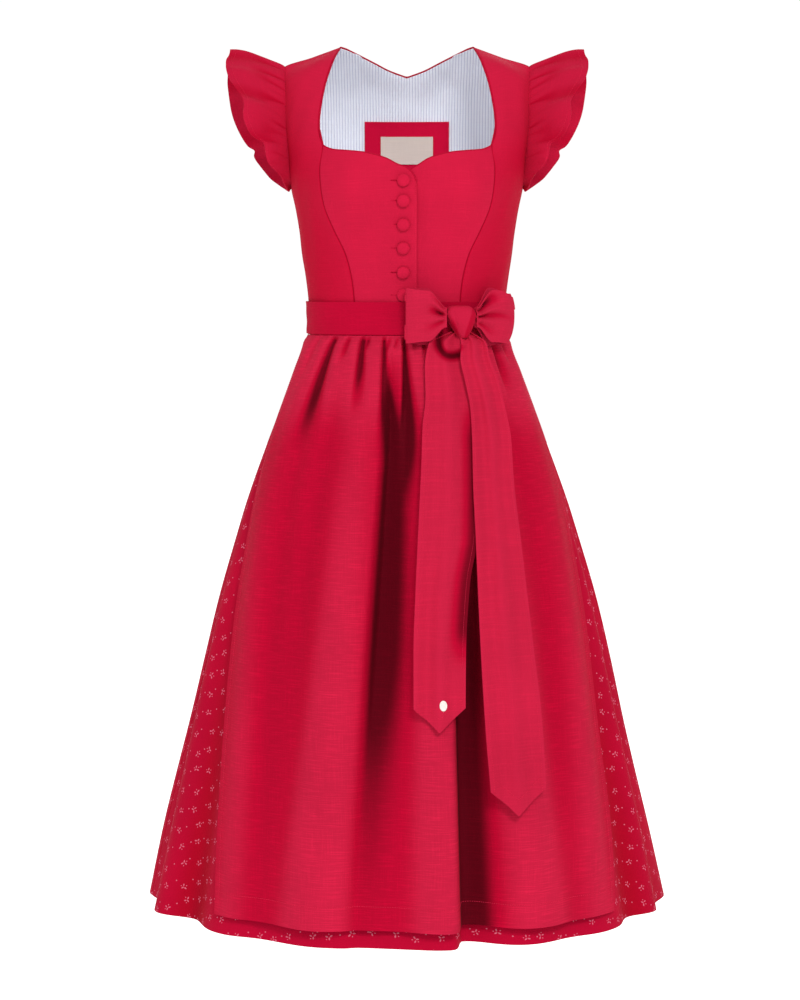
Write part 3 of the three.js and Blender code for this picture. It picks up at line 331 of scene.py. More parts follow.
@dataclass
class DressForm:
    """The form under the dress: its rings, the skirt's flare and the folds that hang from it."""

    bust_x: float = 74.0
    bust_z: float = -158.0
    bust_spread: float = 34.0
    bust_depth: float = 8.0
    steep_side: float = 0.28
    long_side: float = 1.4
    lean_shift: float = 0.75
    edge_lift: float = 2.6
    edge_ease: float = 14.0
    cover_ease: float = 8.0

    def __post_init__(self) -> None:
        """Read the tables of rings and edges."""
        self.body_rings = Table(BODY_RINGS)
        self.skirt_rings = Table(SKIRT_RINGS)
        self.apron_edges = Table(APRON_EDGES)
        self.apron_lifts = Table(APRON_LIFTS)

    @staticmethod
    def ring_point(turn: Array, rings: Table, z: Array) -> tuple[Array, Array]:
        """Find x and y on a rounded ring.

        Args:
            turn: Angle from the front towards the wearer's left, in radians.
            rings: The table of rings.
            z: Height.

        Returns:
            x and y.
        """
        s, c = np.sin(turn), np.cos(turn)
        power = 2 / rings("round", z)
        depth = np.where(c >= 0, -rings("front", z), rings("back", z))
        x = rings("half", z) * np.sign(s) * np.abs(s) ** power
        return x, rings("mid", z) + depth * np.abs(c) ** power

    def body(self, turn: Array, z: Array) -> Array:
        """Points of the bodice's outer face.

        Args:
            turn: Angle in radians.
            z: Height.

        Returns:
            The points.
        """
        turn, z = np.broadcast_arrays(np.asarray(turn, float), np.asarray(z, float))
        x, y = self.ring_point(turn, self.body_rings, z)
        aside, above = (np.abs(x) - self.bust_x) / self.bust_spread, (z - self.bust_z) / self.bust_spread
        bust = np.exp(-(aside**2) - above**2)
        y = y - self.bust_depth * bust * np.sqrt(np.maximum(0, np.cos(turn)))
        return np.stack([x, y, z], axis=-1)

    def body_turn(self, x: Array, z: Array, on_back: bool) -> Array:
        """The turn at which the bodice is x from the middle, on its front or its back.

        Args:
            x: Distance from the middle, below zero on the wearer's right.
            z: Height.
            on_back: Whether it is on the back.

        Returns:
            The turn in radians.
        """
        share = kept(np.abs(x) / self.body_rings("half", z))
        turn = np.arcsin(share ** (RING_ROUND / 2))
        side = np.where(np.asarray(x) < 0, -1.0, 1.0)
        return side * (math.pi - turn if on_back else turn)

    def body_normal(self, turn: Array, z: Array) -> Array:
        """Outward normals of the bodice."""
        return self.normal_of(self.body, turn, z)

    @staticmethod
    def normal_of(surface: Callable[[Array, Array], Array], turn: Array, z: Array) -> Array:
        """Outward normals of any surface of turn and height."""
        steps = ((0.4 * DEG, 0), (0, 0.8))
        return unit(np.cross(*(surface(turn + a, z + b) - surface(turn - a, z - b) for a, b in steps)))

    def skirt_ring(self, turn: Array, z: Array, out: Array) -> Array:
        """Points of the skirt's plain ring, moved out level by a height.

        Args:
            turn: Angle in radians.
            z: Height.
            out: How far they are moved out.

        Returns:
            The points.
        """
        turn, z = np.broadcast_arrays(np.asarray(turn, float), np.asarray(z, float))
        ax, ay = self.ring_point(turn - 0.5 * DEG, self.skirt_rings, z)
        bx, by = self.ring_point(turn + 0.5 * DEG, self.skirt_rings, z)
        x, y = self.ring_point(turn, self.skirt_rings, z)
        length = np.hypot(bx - ax, by - ay)
        return np.stack([x + (by - ay) / length * out, y - (bx - ax) / length * out, z], axis=-1)

    def skirt_turn(self, x: Array, z: Array) -> Array:
        """The turn at which the skirt's ring is x from the middle, on its front."""
        share = kept(np.abs(x) / self.skirt_rings("half", z))
        return np.sign(x) * np.arcsin(share ** (self.skirt_rings("round", z) / 2))

    def folds(self, table: Sequence[Fold], turn: Array, z: Array) -> tuple[Array, Array]:
        """Add up a row of folds.

        Args:
            table: The folds.
            turn: Angle in radians.
            z: Height.

        Returns:
            The height of the ridges and, below zero, that of the troughs.
        """
        t = kept((WAIST_Z - z) / (WAIST_Z - HEM_Z))
        start = smooth((t - FOLD_START) / FOLD_LEVELS[0])
        ridge, trough = np.zeros(np.shape(turn)), np.zeros(np.shape(turn))
        for fold in table:
            off = turn - mix(fold.turn, fold.hem_turn, smooth(t)) * DEG
            off = np.arctan2(np.sin(off), np.cos(off)) / DEG
            shape = bell(off, 0, fold.wide)
            if fold.lean:
                off = off + self.lean_shift * fold.wide
                shape = bell(off, 0, np.where(off < 0, self.steep_side, self.long_side) * fold.wide)
            height = Curve(FOLD_LEVELS, fold.heights)(t) * start * shape
            ridge += np.maximum(height, 0)
            trough += np.minimum(height, 0)
        return ridge, trough

    def apron_room(self, turn: Array, z: Array) -> Array:
        """Degrees from the nearer side edge of the apron, above zero inside it."""
        right, left = (self.apron_edges(name, z) for name in ("right", "left"))
        return np.where(turn < 0, turn / DEG + right, left - turn / DEG)

    def under_apron(self, turn: Array, z: Array) -> Array:
        """1 where the apron covers the skirt, falling to 0 past its edges."""
        return smooth(self.apron_room(turn, z) / self.cover_ease + 1)

    def skirt_out(self, turn: Array, z: Array) -> Array:
        """Height of the skirt's large folds off its ring."""
        under, own = (self.folds(table, turn, z) for table in (APRON_FOLDS, SKIRT_FOLDS))
        return 0.95 * under[1] + 0.5 * under[0] + own[1] + own[0] * (1 - self.under_apron(turn, z))

    def apron_out(self, turn: Array, z: Array) -> Array:
        """Height of the apron's large folds off the skirt's ring.

        Args:
            turn: Angle in radians.
            z: Height.

        Returns:
            The height.
        """
        ridge, trough = self.folds(APRON_FOLDS, turn, z)
        lift = self.apron_lifts("lift", z)
        low = np.minimum(lift, self.edge_lift)
        free = mix(low, lift, smooth(self.apron_room(turn, z) / self.edge_ease)) + ridge + trough
        return np.maximum(free, self.skirt_out(turn, z) + low)


FORM = DressForm()


def upright(normal: Array) -> tuple[Array, Array, Array]:
    """Find the axes of something that sits upright on a surface.

    Args:
        normal: The way that the surface faces.

    Returns:
        Unit vectors to its side, up it and out of it.
    """
    out = unit(normal)
    up = unit(UP - out * out[2])
    return np.cross(up, out), up, out


@dataclass(frozen=True)
class Gathers:
    """Small uneven creases that run down from a gathered edge.

    spacing, depth, wide, length and start are in mm; length is how far the longest crease runs,
    widen how fast each one widens and start how far below the edge it is whole. shortest and
    shallowest are shares of the longest and deepest, lean is the most that one slants, and puff how
    high the cloth stands between creases, as a share of their depth.
    """

    seed: int
    spacing: float = 10.5
    depth: float = 3.0
    wide: float = 1.7
    length: float = 150.0
    widen: float = 0.022
    start: float = 8.0
    shortest: float = 0.22
    shallowest: float = 0.2
    lean: float = 0.08
    puff: float = 0.32

    def height(self, across: Array, down: Array, width: float) -> Array:
        """Height of the creases and of the puffs between them.

        Args:
            across: Distance along the gathered edge, in mm.
            down: Distance below it, in mm.
            width: Length of the gathered edge, in mm.

        Returns:
            The height, below zero in a crease.
        """
        random = np.random.default_rng(self.seed)
        count = max(2, round(width / self.spacing))
        places = (np.arange(count) + 0.5 + random.uniform(-0.3, 0.3, count)) * width / count
        total = np.zeros(np.broadcast(across, down).shape)
        for place in places:
            length = self.length * random.uniform(self.shortest, 1.0) ** 1.4
            depth = self.depth * random.uniform(self.shallowest, 1.0)
            lean = random.uniform(-self.lean, self.lean)
            spread = self.wide * random.uniform(0.8, 1.3) + self.widen * down
            fade = smooth(down / self.start) * (1 - smooth(down / (length + 25)))
            total -= depth * fade * bell(across, place + lean * down, spread)
        puff = self.puff * self.depth * smooth(down / self.start)
        return total + puff * (1 - smooth(down / self.length))


def wrinkles(u: Array, v: Array, length: float, seed: int, waves: int = 7) -> Array:
    """Soft uneven undulation of about unit size.

    Args:
        u: Distance across the cloth, in mm.
        v: Distance up the cloth, in mm.
        length: Usual length of one wave, in mm.
        seed: Seed of its directions and phases.
        waves: How many waves are added up.

    Returns:
        The height.
    """
    random = np.random.default_rng(seed)
    total = np.zeros(np.broadcast(u, v).shape)
    for _ in range(waves):
        angle = random.uniform(0, math.pi)
        size = 2 * math.pi / (length * random.uniform(0.6, 1.5))
        total += np.sin(size * (u * math.cos(angle) + v * math.sin(angle)) + random.uniform(0, 6.28))
    return total / math.sqrt(waves)


# Cloth meshes


def clustered(count: int, width: float) -> Array:
    """Shares from 0 to 1 across a panel, close together by its two seams.

    Args:
        count: Steps across its middle.
        width: Width of the panel, in mm.

    Returns:
        The shares.
    """
    edge = np.array([0.0, 0.4, 0.8, 1.4, 2.3, 3.6]) / width
    middle = np.linspace(edge[-1], 1 - edge[-1], count)[1:-1]
    return np.concatenate([edge, middle, 1 - edge[::-1]])


def grid_normals(points: Array, loop: bool = False) -> Array:
    """Normals of a grid of points, row by column, which may be joined into a loop."""
    across = np.roll(points, -1, 1) - np.roll(points, 1, 1) if loop else np.gradient(points, axis=1)
    return unit(np.cross(across, np.gradient(points, axis=0)))


def along(points: Array, axis: int) -> Array:
    """Distance run along each row or column of a grid.

    Args:
        points: The grid.
        axis: 0 to run up its columns, 1 to run across its rows.

    Returns:
        The distance at each point, from 0.
    """
    steps = np.linalg.norm(np.diff(points, axis=axis), axis=-1)
    start = np.zeros_like(np.take(steps, [0], axis=axis))
    return np.concatenate([start, np.cumsum(steps, axis=axis)], axis=axis)


def through_rows(knots: Array, count: int) -> Array:
    """Lay a smooth surface through rows of points.

    Args:
        knots: The rows, each with the same number of points.
        count: How many rows the surface has.

    Returns:
        The finer grid, which keeps the first and last rows.
    """
    steps = np.mean(np.linalg.norm(np.diff(knots, axis=0), axis=-1), axis=1)
    keys = np.concatenate([[0.0], np.cumsum(steps)])
    slope = np.diff(knots, axis=0) / steps[:, None, None]
    before, after = steps[:-1, None, None], steps[1:, None, None]
    inner = (slope[:-1] * after + slope[1:] * before) / (before + after)
    slopes = np.concatenate([slope[:1], inner, slope[-1:]])
    at = np.linspace(0, keys[-1], count)
    i = np.clip(np.searchsorted(keys, at, side="right") - 1, 0, len(steps) - 1)
    width = steps[i][:, None, None]
    t = ((at - keys[i]) / steps[i])[:, None, None]
    return between(t, knots[i], width * slopes[i], knots[i + 1], width * slopes[i + 1])


def add_object(name: str, data: object) -> Object:
    """Put something in the scene.

    Args:
        name: Its name.
        data: A mesh, lamp or camera.

    Returns:
        The object, at the origin.
    """
    obj = bpy.data.objects.new(name, data)
    bpy.context.scene.collection.objects.link(obj)
    return obj


def make_object(name: str, vertices: Array, faces: Faces) -> Object:
    """Put a smooth-shaded mesh in the scene.

    Args:
        name: Name of the piece.
        vertices: Its points in mm.
        faces: Its faces.

    Returns:
        The object, at the origin.
    """
    mesh = bpy.data.meshes.new(f"{name}_made")
    mesh.from_pydata((vertices * MM).tolist(), [], faces)
    mesh.polygons.foreach_set("use_smooth", [True] * len(mesh.polygons))
    return add_object(f"{name}_made", mesh)


@dataclass
class Sheet:
    """A stretch of cloth as a grid of points of its outer face, in mm.

    outward says roughly where its outer face looks, uv is its pattern in metres, start is how far
    below the grid its wall begins, and its painted shade is 1 where it is darkened most with painted shade.
    """

    name: str
    points: Array
    wall: float
    loop: bool = False
    outward: Array | None = None
    uv: Array | None = None
    start: float = 0.0
    seams: Seam = Seam.NONE
    deep: Array | None = None
    seam_shade: float = 0.7
    normals: Array = field(init=False)

    def __post_init__(self) -> None:
        """Find the normals, lay the cloth out flat and roll its seams in."""
        self.normals = grid_normals(self.points, self.loop)
        outward = self.points * LEVEL if self.outward is None else self.outward
        if np.sum(self.normals * outward) < 0:
            self.normals = -self.normals
        if self.uv is None:
            across, up = along(self.points, 1), along(self.points, 0)
            middle = across[:, [across.shape[1] // 2]]
            self.uv = np.stack([across - middle, up], axis=-1) * MM
        self.roll_seams()

    def roll_seams(self, depth: float = 0.7, wide: float = 1.2) -> None:
        """Sink the cloth beside each sewn edge.

        Args:
            depth: How far it sinks, in mm.
            wide: How far from the seam, in mm.
        """
        across, up = along(self.points, 1), along(self.points, 0)
        sink = np.zeros(self.points.shape[:2])
        if Seam.START in self.seams:
            sink = np.maximum(sink, np.exp(-((across / wide) ** 2)))
        if Seam.END in self.seams:
            sink = np.maximum(sink, np.exp(-(((across[:, -1:] - across) / wide) ** 2)))
        if Seam.TOP in self.seams:
            sink = np.maximum(sink, np.exp(-(((up[-1:] - up) / wide) ** 2)))
        self.points = self.points - self.normals * (depth * sink)[..., None]
        # painted shade: the cloth is darkened beside each sewn edge
        if self.deep is not None:
            self.deep = kept(self.deep + self.seam_shade * sink**2)

    def area(self) -> float:
        """Area of the cloth in square metres."""
        sides = np.diff(self.points[:-1], axis=1), np.diff(self.points[:, :-1], axis=0)
        return float(np.sum(np.linalg.norm(np.cross(*sides), axis=-1))) * MM * MM

    def flat(self) -> tuple[float, float]:
        """Width and length of the rectangle that the cloth is cut from, in metres."""
        width, length = along(self.points, 1)[:, -1], along(self.points, 0)[-1]
        return float(np.max(width)) * MM, float(np.max(length)) * MM

    def build(self, outer: Material, inner: Material | None = None) -> Object:
        """Make the closed wall.

        Args:
            outer: Finish of its outer face and edges.
            inner: Finish of its inner face, where that differs.

        Returns:
            The object.
        """
        rows, columns = self.points.shape[:2]
        shell = [self.points - self.normals * d for d in (self.start, self.start + self.wall)]
        vertices = np.concatenate([face.reshape(-1, 3) for face in shell])
        ids = np.arange(rows * columns).reshape(rows, columns)
        if self.loop:
            ids = np.concatenate([ids, ids[:, :1]], axis=1)
        a, b, c, d = ids[:-1, :-1], ids[:-1, 1:], ids[1:, 1:], ids[1:, :-1]
        quads = np.stack([a, b, c, d], axis=-1).reshape(-1, 4)
        shift = rows * columns
        faces = [quads, quads[:, ::-1] + shift]
        rims = [ids[0][::-1], ids[-1]]
        if not self.loop:
            rims += [ids[:, 0], ids[::-1, -1]]
        for rim in rims:
            faces.append(np.stack([rim[:-1], rim[1:], rim[1:] + shift, rim[:-1] + shift], axis=-1)[:, ::-1])
        every = np.concatenate(faces)
        corner = self.points[0, 0]
        facing = np.cross(self.points[0, 1] - corner, self.points[1, 0] - corner)
        if facing @ self.normals[0, 0] < 0:
            every = every[:, ::-1]
        obj = make_object(self.name, vertices, every.tolist())
        mesh = obj.data
        layer = mesh.uv_layers.new(name="cloth")
        index = np.empty(len(mesh.loops), dtype=np.int32)
        mesh.loops.foreach_get("vertex_index", index)
        flat = np.concatenate([self.uv.reshape(-1, 2)] * 2)
        layer.data.foreach_set("uv", flat[index].ravel())
        # the painted shade goes to the finish as a point attribute
        if self.deep is not None:
            write_painted_shade(mesh, np.concatenate([self.deep.ravel()] * 2))
        mesh.materials.append(outer)
        if inner:
            mesh.materials.append(inner)
            slots = np.zeros(len(every), dtype=np.int32)
            slots[len(quads):2 * len(quads)] = 1
            mesh.polygons.foreach_set("material_index", slots)
        mesh.set_sharp_from_angle(angle=SHARP_TURN)
        return obj


def stacked_faces(rings: int, turns: int, turned: bool) -> Faces:
    """Join a stack of rings and the two poles that are listed after them.

    Args:
        rings: How many rings there are.
        turns: How many points each ring has.
        turned: Whether the rings run the other way round.

    Returns:
        The faces.
    """
    faces: Faces = []
    last = (rings - 1) * turns
    for j in range(turns):
        k = (j + 1) % turns
        near, far = (k, j) if turned else (j, k)
        for low in range(0, last, turns):
            faces.append((low + near, low + far, low + turns + far, low + turns + near))
        faces.append((far, near, last + turns))
        faces.append((last + near, last + far, last + turns + 1))
    return faces


def write_painted_shade(mesh: Mesh, values: Array) -> None:
    """Tell the cloth's finish how much painted shade each of its points gets."""
    shade = mesh.attributes.new("deep", "FLOAT", "POINT")
    shade.data.foreach_set("value", values)


def lathe(name: str, centre: Array, axes: tuple[Array, Array, Array],
          profile: Sequence[Sequence[float]], turns: int) -> Object:
    """Turn a profile about an axis.

    Args:
        name: Name of the piece.
        centre: Middle of its back.
        axes: Side, up and outward directions, of which the first two may be scaled.
        profile: Radius and height rows, from the back's middle to the front's.
        turns: Steps round the axis.

    Returns:
        The object, closed at both poles.
    """
    side, up, out = axes
    angle = np.arange(turns) * 2 * math.pi / turns
    spoke = np.cos(angle)[:, None] * side + np.sin(angle)[:, None] * up
    rings = [centre + radius * spoke + height * out for radius, height in profile[1:-1]]
    poles = np.stack([centre + profile[0][1] * out, centre + profile[-1][1] * out])
    return make_object(name, np.concatenate([*rings, poles]), stacked_faces(len(rings), turns, False))


def cord_object(name: str, path: Array, radius: float, sides: int = 8) -> Object:
    """A round cord along a path of centres, closed at both ends.

    Args:
        name: Name of the piece.
        path: The centres.
        radius: Radius of the cord.
        sides: Steps round it.

    Returns:
        The object.
    """
    tangent = unit(np.gradient(path, axis=0))
    side = UP
    rows = []
    for point, t in zip(path, tangent):
        side = unit(side - t * float(side @ t))
        other = np.cross(t, side)
        angle = np.arange(sides) * 2 * math.pi / sides
        rows.append(point + radius * (np.cos(angle)[:, None] * side + np.sin(angle)[:, None] * other))
    vertices = np.concatenate(rows)
    faces: Faces = [
        (i * sides + j, i * sides + (j + 1) % sides, (i + 1) * sides + (j + 1) % sides, (i + 1) * sides + j)
        for i in range(len(path) - 1) for j in range(sides)
    ]
    faces.append(tuple(reversed(range(sides))))
    faces.append(tuple(range((len(path) - 1) * sides, len(path) * sides)))
    return make_object(name, vertices, faces)


# Finishes


class Coordinates(Enum):
    """Where a finish reads its pattern."""

    CLOTH = "UV"
    OBJECT = "Object"


class Shades:
    """A hand for building one finish's shader nodes."""

    def __init__(self, name: str, coordinates: Coordinates) -> None:
        """Start a material with its surface shader and pattern coordinates.

        Args:
            name: Name of the finish.
            coordinates: Where it reads its pattern.
        """
        self.material = bpy.data.materials.new(name)
        self.material.use_nodes = True
        self.tree = self.material.node_tree
        self.surface = self.tree.nodes["Principled BSDF"]
        where = self.tree.nodes.new("ShaderNodeTexCoord")
        self.place = where.outputs[coordinates.value]

    def put(self, socket: NodeSocket, value: object) -> None:
        """Link a socket, or set its value.

        Args:
            socket: The input.
            value: An output to link, or a plain value.
        """
        if isinstance(value, NodeSocket):
            self.tree.links.new(value, socket)
        else:
            socket.default_value = value

    def node(self, kind: str, *values: object, **settings: object) -> Node:
        """Add a node, with its settings and its first inputs.

        Args:
            kind: The node's type.
            values: Its first inputs in order, None to leave one.
            settings: Its settings by name.

        Returns:
            The node.
        """
        node = self.tree.nodes.new(kind)
        for name, value in settings.items():
            setattr(node, name, value)
        for socket, value in zip(node.inputs, values):
            if value is not None:
                self.put(socket, value)
        return node

    def math(self, operation: str, a: object, b: object = None) -> NodeSocket:
        """One step of arithmetic."""
        return self.node("ShaderNodeMath", a, b, operation=operation).outputs[0]

    def vector(self, operation: str, a: object, b: object = None) -> NodeSocket:
        """One step of vector arithmetic."""
        node = self.node("ShaderNodeVectorMath", a, b, operation=operation)
        return node.outputs["Value" if operation == "LENGTH" else "Vector"]

    def stretch(self, scale: Colour, vector: object = None) -> NodeSocket:
        """The pattern's coordinates, or others, scaled by steps to a metre."""
        return self.node("ShaderNodeMapping", vector or self.place, None, None, scale).outputs[0]

    def noise(self, vector: object, detail: float = 2.0) -> NodeSocket:
        """Soft noise of about unit size, with some finer layers."""
        return self.node("ShaderNodeTexNoise", vector, None, 1.0, detail).outputs[0]

    def span(self, value: object, low: float, high: float, to_low: float = 0.0,
             to_high: float = 1.0) -> NodeSocket:
        """Map a value from one span to another, held at its ends."""
        spans = (low, high, to_low, to_high)
        return self.node("ShaderNodeMapRange", value, *spans, interpolation_type="SMOOTHSTEP").outputs[0]

    def blend(self, share: object, a: object, b: object) -> NodeSocket:
        """Blend two colours.

        Args:
            share: Share of the second.
            a: The first.
            b: The second.

        Returns:
            The colour.
        """
        node = self.node("ShaderNodeMix", data_type="RGBA")
        self.put(node.inputs[0], share)
        for socket, colour in ((node.inputs[6], a), (node.inputs[7], b)):
            self.put(socket, (*colour, 1.0) if isinstance(colour, tuple) else colour)
        return node.outputs[2]

    def raise_by(self, height: object, distance: float, strength: float = 1.0) -> None:
        """Bump the surface by a height.

        Args:
            height: The height.
            distance: What a height of 1 is, in metres.
            strength: How much it shows.
        """
        node = self.node("ShaderNodeBump")
        node.inputs["Strength"].default_value = strength
        node.inputs["Distance"].default_value = distance
        self.put(node.inputs["Height"], height)
        self.put(self.surface.inputs["Normal"], node.outputs[0])

    def set(self, **numbers: object) -> None:
        """Set the surface shader's plain inputs by name, with _ for a space."""
        for name, value in numbers.items():
            self.surface.inputs[name.replace("_", " ")].default_value = value


def shaded(colour: Colour, by: float) -> Colour:
    """A colour made lighter or darker by a share."""
    return tuple(min(1.0, c * (1 + by)) for c in colour)


@dataclass(frozen=True)
class Linen:
    """Plain-woven linen with its uneven threads.

    thread is the weave's pitch in mm, slub how much the thick threads show, nap its sheen, and its
    painted shade how far it is darkened where its pieces carry painted shade. run is the steps to a
    metre along a thread, and the last two fields are the tint and the darkening of that painted shade
    where it is darkest.
    """

    name: str
    colour: Colour
    thread: float = 0.7
    slub: float = 0.10
    nap: float = 0.25
    deep: float = 0.0
    coordinates: Coordinates = Coordinates.CLOTH
    run: float = 26.0
    fold_tint: Colour = (0.87, 0.06, 0.55)
    fold_fall: float = 0.76

    def ground(self, s: Shades) -> tuple[NodeSocket, NodeSocket]:
        """Lay the cloth's colour and its weave.

        Args:
            s: The material being built.

        Returns:
            The colour and the height of the weave.
        """
        pitch = 1 / (self.thread * MM)
        upward = pitch if self.coordinates is Coordinates.OBJECT else 1.0
        weft = s.noise(s.stretch((self.run, pitch, upward)))
        warp = s.noise(s.stretch((pitch, self.run, self.run)))
        threads = s.math("ADD", s.span(weft, 0.42, 0.74, 0.0, 1.3), s.span(warp, 0.42, 0.74, 0.0, 0.7))
        cloud = s.noise(s.stretch((9.0, 9.0, 9.0)), 3.0)
        body = s.blend(s.span(cloud, 0.3, 0.7), shaded(self.colour, -0.05), shaded(self.colour, 0.05))
        # painted shade: where its pieces carry it, the cloth is darkened, first to a deeper red and then
        # towards dark
        if self.deep:
            depth = s.node("ShaderNodeAttribute", attribute_name="deep").outputs["Fac"]
            share = s.math("MULTIPLY", depth, self.deep)
            fold_shade_colour = tuple(c * k for c, k in zip(self.colour, self.fold_tint))
            body = s.blend(s.span(share, 0.0, 0.45), body, fold_shade_colour)
            body = s.blend(s.span(share, 0.4, 1.0), body, shaded(fold_shade_colour, -self.fold_fall))
        tone = s.span(threads, 0.0, 1.6, 1 - 0.5 * self.slub, 1 + self.slub)
        return s.vector("MULTIPLY", body, tone), threads

    def material(self) -> Material:
        """Build the finish.

        Returns:
            The material.
        """
        s = Shades(self.name, self.coordinates)
        colour, weave = self.ground(s)
        s.put(s.surface.inputs["Base Color"], colour)
        s.raise_by(weave, 0.00012, 0.5)
        self.soften(s)
        return s.material

    def soften(self, s: Shades) -> None:
        """Give the surface linen's dull sheen.

        Args:
            s: The material being built.
        """
        tint = tuple(min(1.0, 0.35 + 0.6 * c) for c in self.colour)
        s.set(Roughness=0.8, Sheen_Weight=self.nap * 0.06, Sheen_Roughness=0.5, Sheen_Tint=(*tint, 1.0))
        s.surface.inputs["Specular IOR Level"].default_value = 0.05


@dataclass(frozen=True)
class Petal:
    """One stroke of a sprig, in shares of its cell: place, half sizes and turn in degrees."""

    x: float
    y: float
    long: float
    wide: float
    turn: float


@dataclass(frozen=True)
class SprigPrint(Linen):
    """Fine cotton printed with small scattered sprigs, one to a cell, and a dot between them."""

    ink: Colour = (0.66, 0.14, 0.22)
    ink_share: float = 0.85
    jitter: float = 0.34
    cell: float = 22.5
    petals: tuple[Petal, ...] = (
        Petal(0.0, 0.115, 0.072, 0.034, 84), Petal(-0.105, 0.0, 0.072, 0.036, 24),
        Petal(0.10, -0.01, 0.065, 0.034, -38), Petal(0.13, 0.13, 0.028, 0.026, 0),
        Petal(-0.02, -0.12, 0.036, 0.024, 70),
    )

    def strokes(self, s: Shades, petals: Sequence[Petal], offset: float, spin: bool) -> NodeSocket:
        """Print petals once in each cell.

        Args:
            s: The material being built.
            petals: What is printed.
            offset: How far the cells are shifted, in cells.
            spin: Whether each cell is turned its own way.

        Returns:
            1 where there is ink.
        """
        size = 1 / (self.cell * MM)
        scaled = s.vector("ADD", s.stretch((size, size, 0.0)), (offset, offset * 1.7, 0.0))
        corner = s.vector("FLOOR", scaled)
        chance = s.node("ShaderNodeTexWhiteNoise", corner, noise_dimensions="3D").outputs["Color"]
        local = s.vector("SUBTRACT", s.vector("SUBTRACT", scaled, corner), (0.5, 0.5, 0.0))
        jitter = s.vector("SUBTRACT", chance, (0.5, 0.5, 0.5))
        jitter = s.vector("MULTIPLY", jitter, (self.jitter, self.jitter, 0.0))
        local = s.vector("SUBTRACT", local, jitter)
        if spin:
            turned = s.node("ShaderNodeVectorRotate", local, rotation_type="Z_AXIS")
            parts = s.node("ShaderNodeSeparateColor", chance)
            s.put(turned.inputs["Angle"], s.math("MULTIPLY", parts.outputs[2], 6.283))
            local = turned.outputs[0]
        ink: object = 0.0
        for petal in petals:
            frame_of = ((petal.x, petal.y, 0.0), (0.0, 0.0, petal.turn * DEG), (petal.long, petal.wide, 1.0))
            node = s.node("ShaderNodeMapping", local, *frame_of, vector_type="TEXTURE")
            ink = s.math("MAXIMUM", ink, s.span(s.vector("LENGTH", node.outputs[0]), 0.7, 1.25, 1.0, 0.0))
        return ink

    def material(self) -> Material:
        """Build the finish.

        Returns:
            The material.
        """
        s = Shades(self.name, self.coordinates)
        colour, weave = self.ground(s)
        sprigs = self.strokes(s, self.petals, 0.0, True)
        dots = self.strokes(s, (Petal(0.0, 0.0, 0.038, 0.036, 0),), 0.5, False)
        share = s.math("MULTIPLY", s.math("MAXIMUM", sprigs, dots), self.ink_share)
        printed = s.blend(share, colour, self.ink)
        s.put(s.surface.inputs["Base Color"], printed)
        s.raise_by(weave, 0.00008, 0.35)
        self.soften(s)
        return s.material


@dataclass(frozen=True)
class Pinstripe(Linen):
    """Smooth white lining with a fine stripe, which glows a little as painted light."""

    stripe: Colour = (0.50, 0.52, 0.66)
    period: float = 3.5
    glow: float = 0.0

    def material(self) -> Material:
        """Build the finish.

        Returns:
            The material.
        """
        s = Shades(self.name, self.coordinates)
        colour, weave = self.ground(s)
        across = s.node("ShaderNodeSeparateXYZ", s.stretch((1 / (self.period * MM), 1.0, 1.0)))
        wave = s.math("PINGPONG", across.outputs[0], 0.5)
        striped = s.blend(s.span(wave, 0.06, 0.22, 0.85, 0.0), colour, self.stripe)
        s.put(s.surface.inputs["Base Color"], striped)
        # painted light: the lining glows faintly in its own striped colour
        s.put(s.surface.inputs["Emission Color"], striped)
        s.set(Emission_Strength=self.glow)
        s.raise_by(weave, 0.00006, 0.3)
        self.soften(s)
        return s.material


@dataclass(frozen=True)
class SmoothTag:
    """A small smooth moulded tag."""

    name: str
    colour: Colour

    def material(self) -> Material:
        """Build the finish.

        Returns:
            The material.
        """
        s = Shades(self.name, Coordinates.OBJECT)
        haze = s.noise(s.stretch((300.0, 300.0, 300.0)), 3.0)
        s.put(s.surface.inputs["Base Color"],
              s.blend(s.span(haze, 0.35, 0.65), shaded(self.colour, -0.06), shaded(self.colour, 0.06)))
        s.raise_by(haze, 0.00003, 0.3)
        s.set(Roughness=0.35)
        return s.material


@dataclass(frozen=True)
class StudioFloor:
    """Plain pale floor, lit more strongly towards its back."""

    name: str = "pale_floor"
    colour: Colour = (0.55, 0.55, 0.55)
    near_glow: float = 0.42
    far_glow: float = 0.86

    def material(self) -> Material:
        """Build the finish.

        Returns:
            The material.
        """
        s = Shades(self.name, Coordinates.OBJECT)
        grain = s.noise(s.stretch((2.0, 2.0, 2.0)), 3.0)
        s.put(s.surface.inputs["Base Color"], s.blend(grain, shaded(self.colour, -0.01), self.colour))
        parts = s.node("ShaderNodeSeparateXYZ", s.place)
        glow = s.span(parts.outputs[1], -2.4, 0.7, self.near_glow, self.far_glow)
        s.put(s.surface.inputs["Emission Strength"], glow)
        s.set(Roughness=0.9, Emission_Color=(1.0, 1.0, 1.0, 1.0))
        return s.material


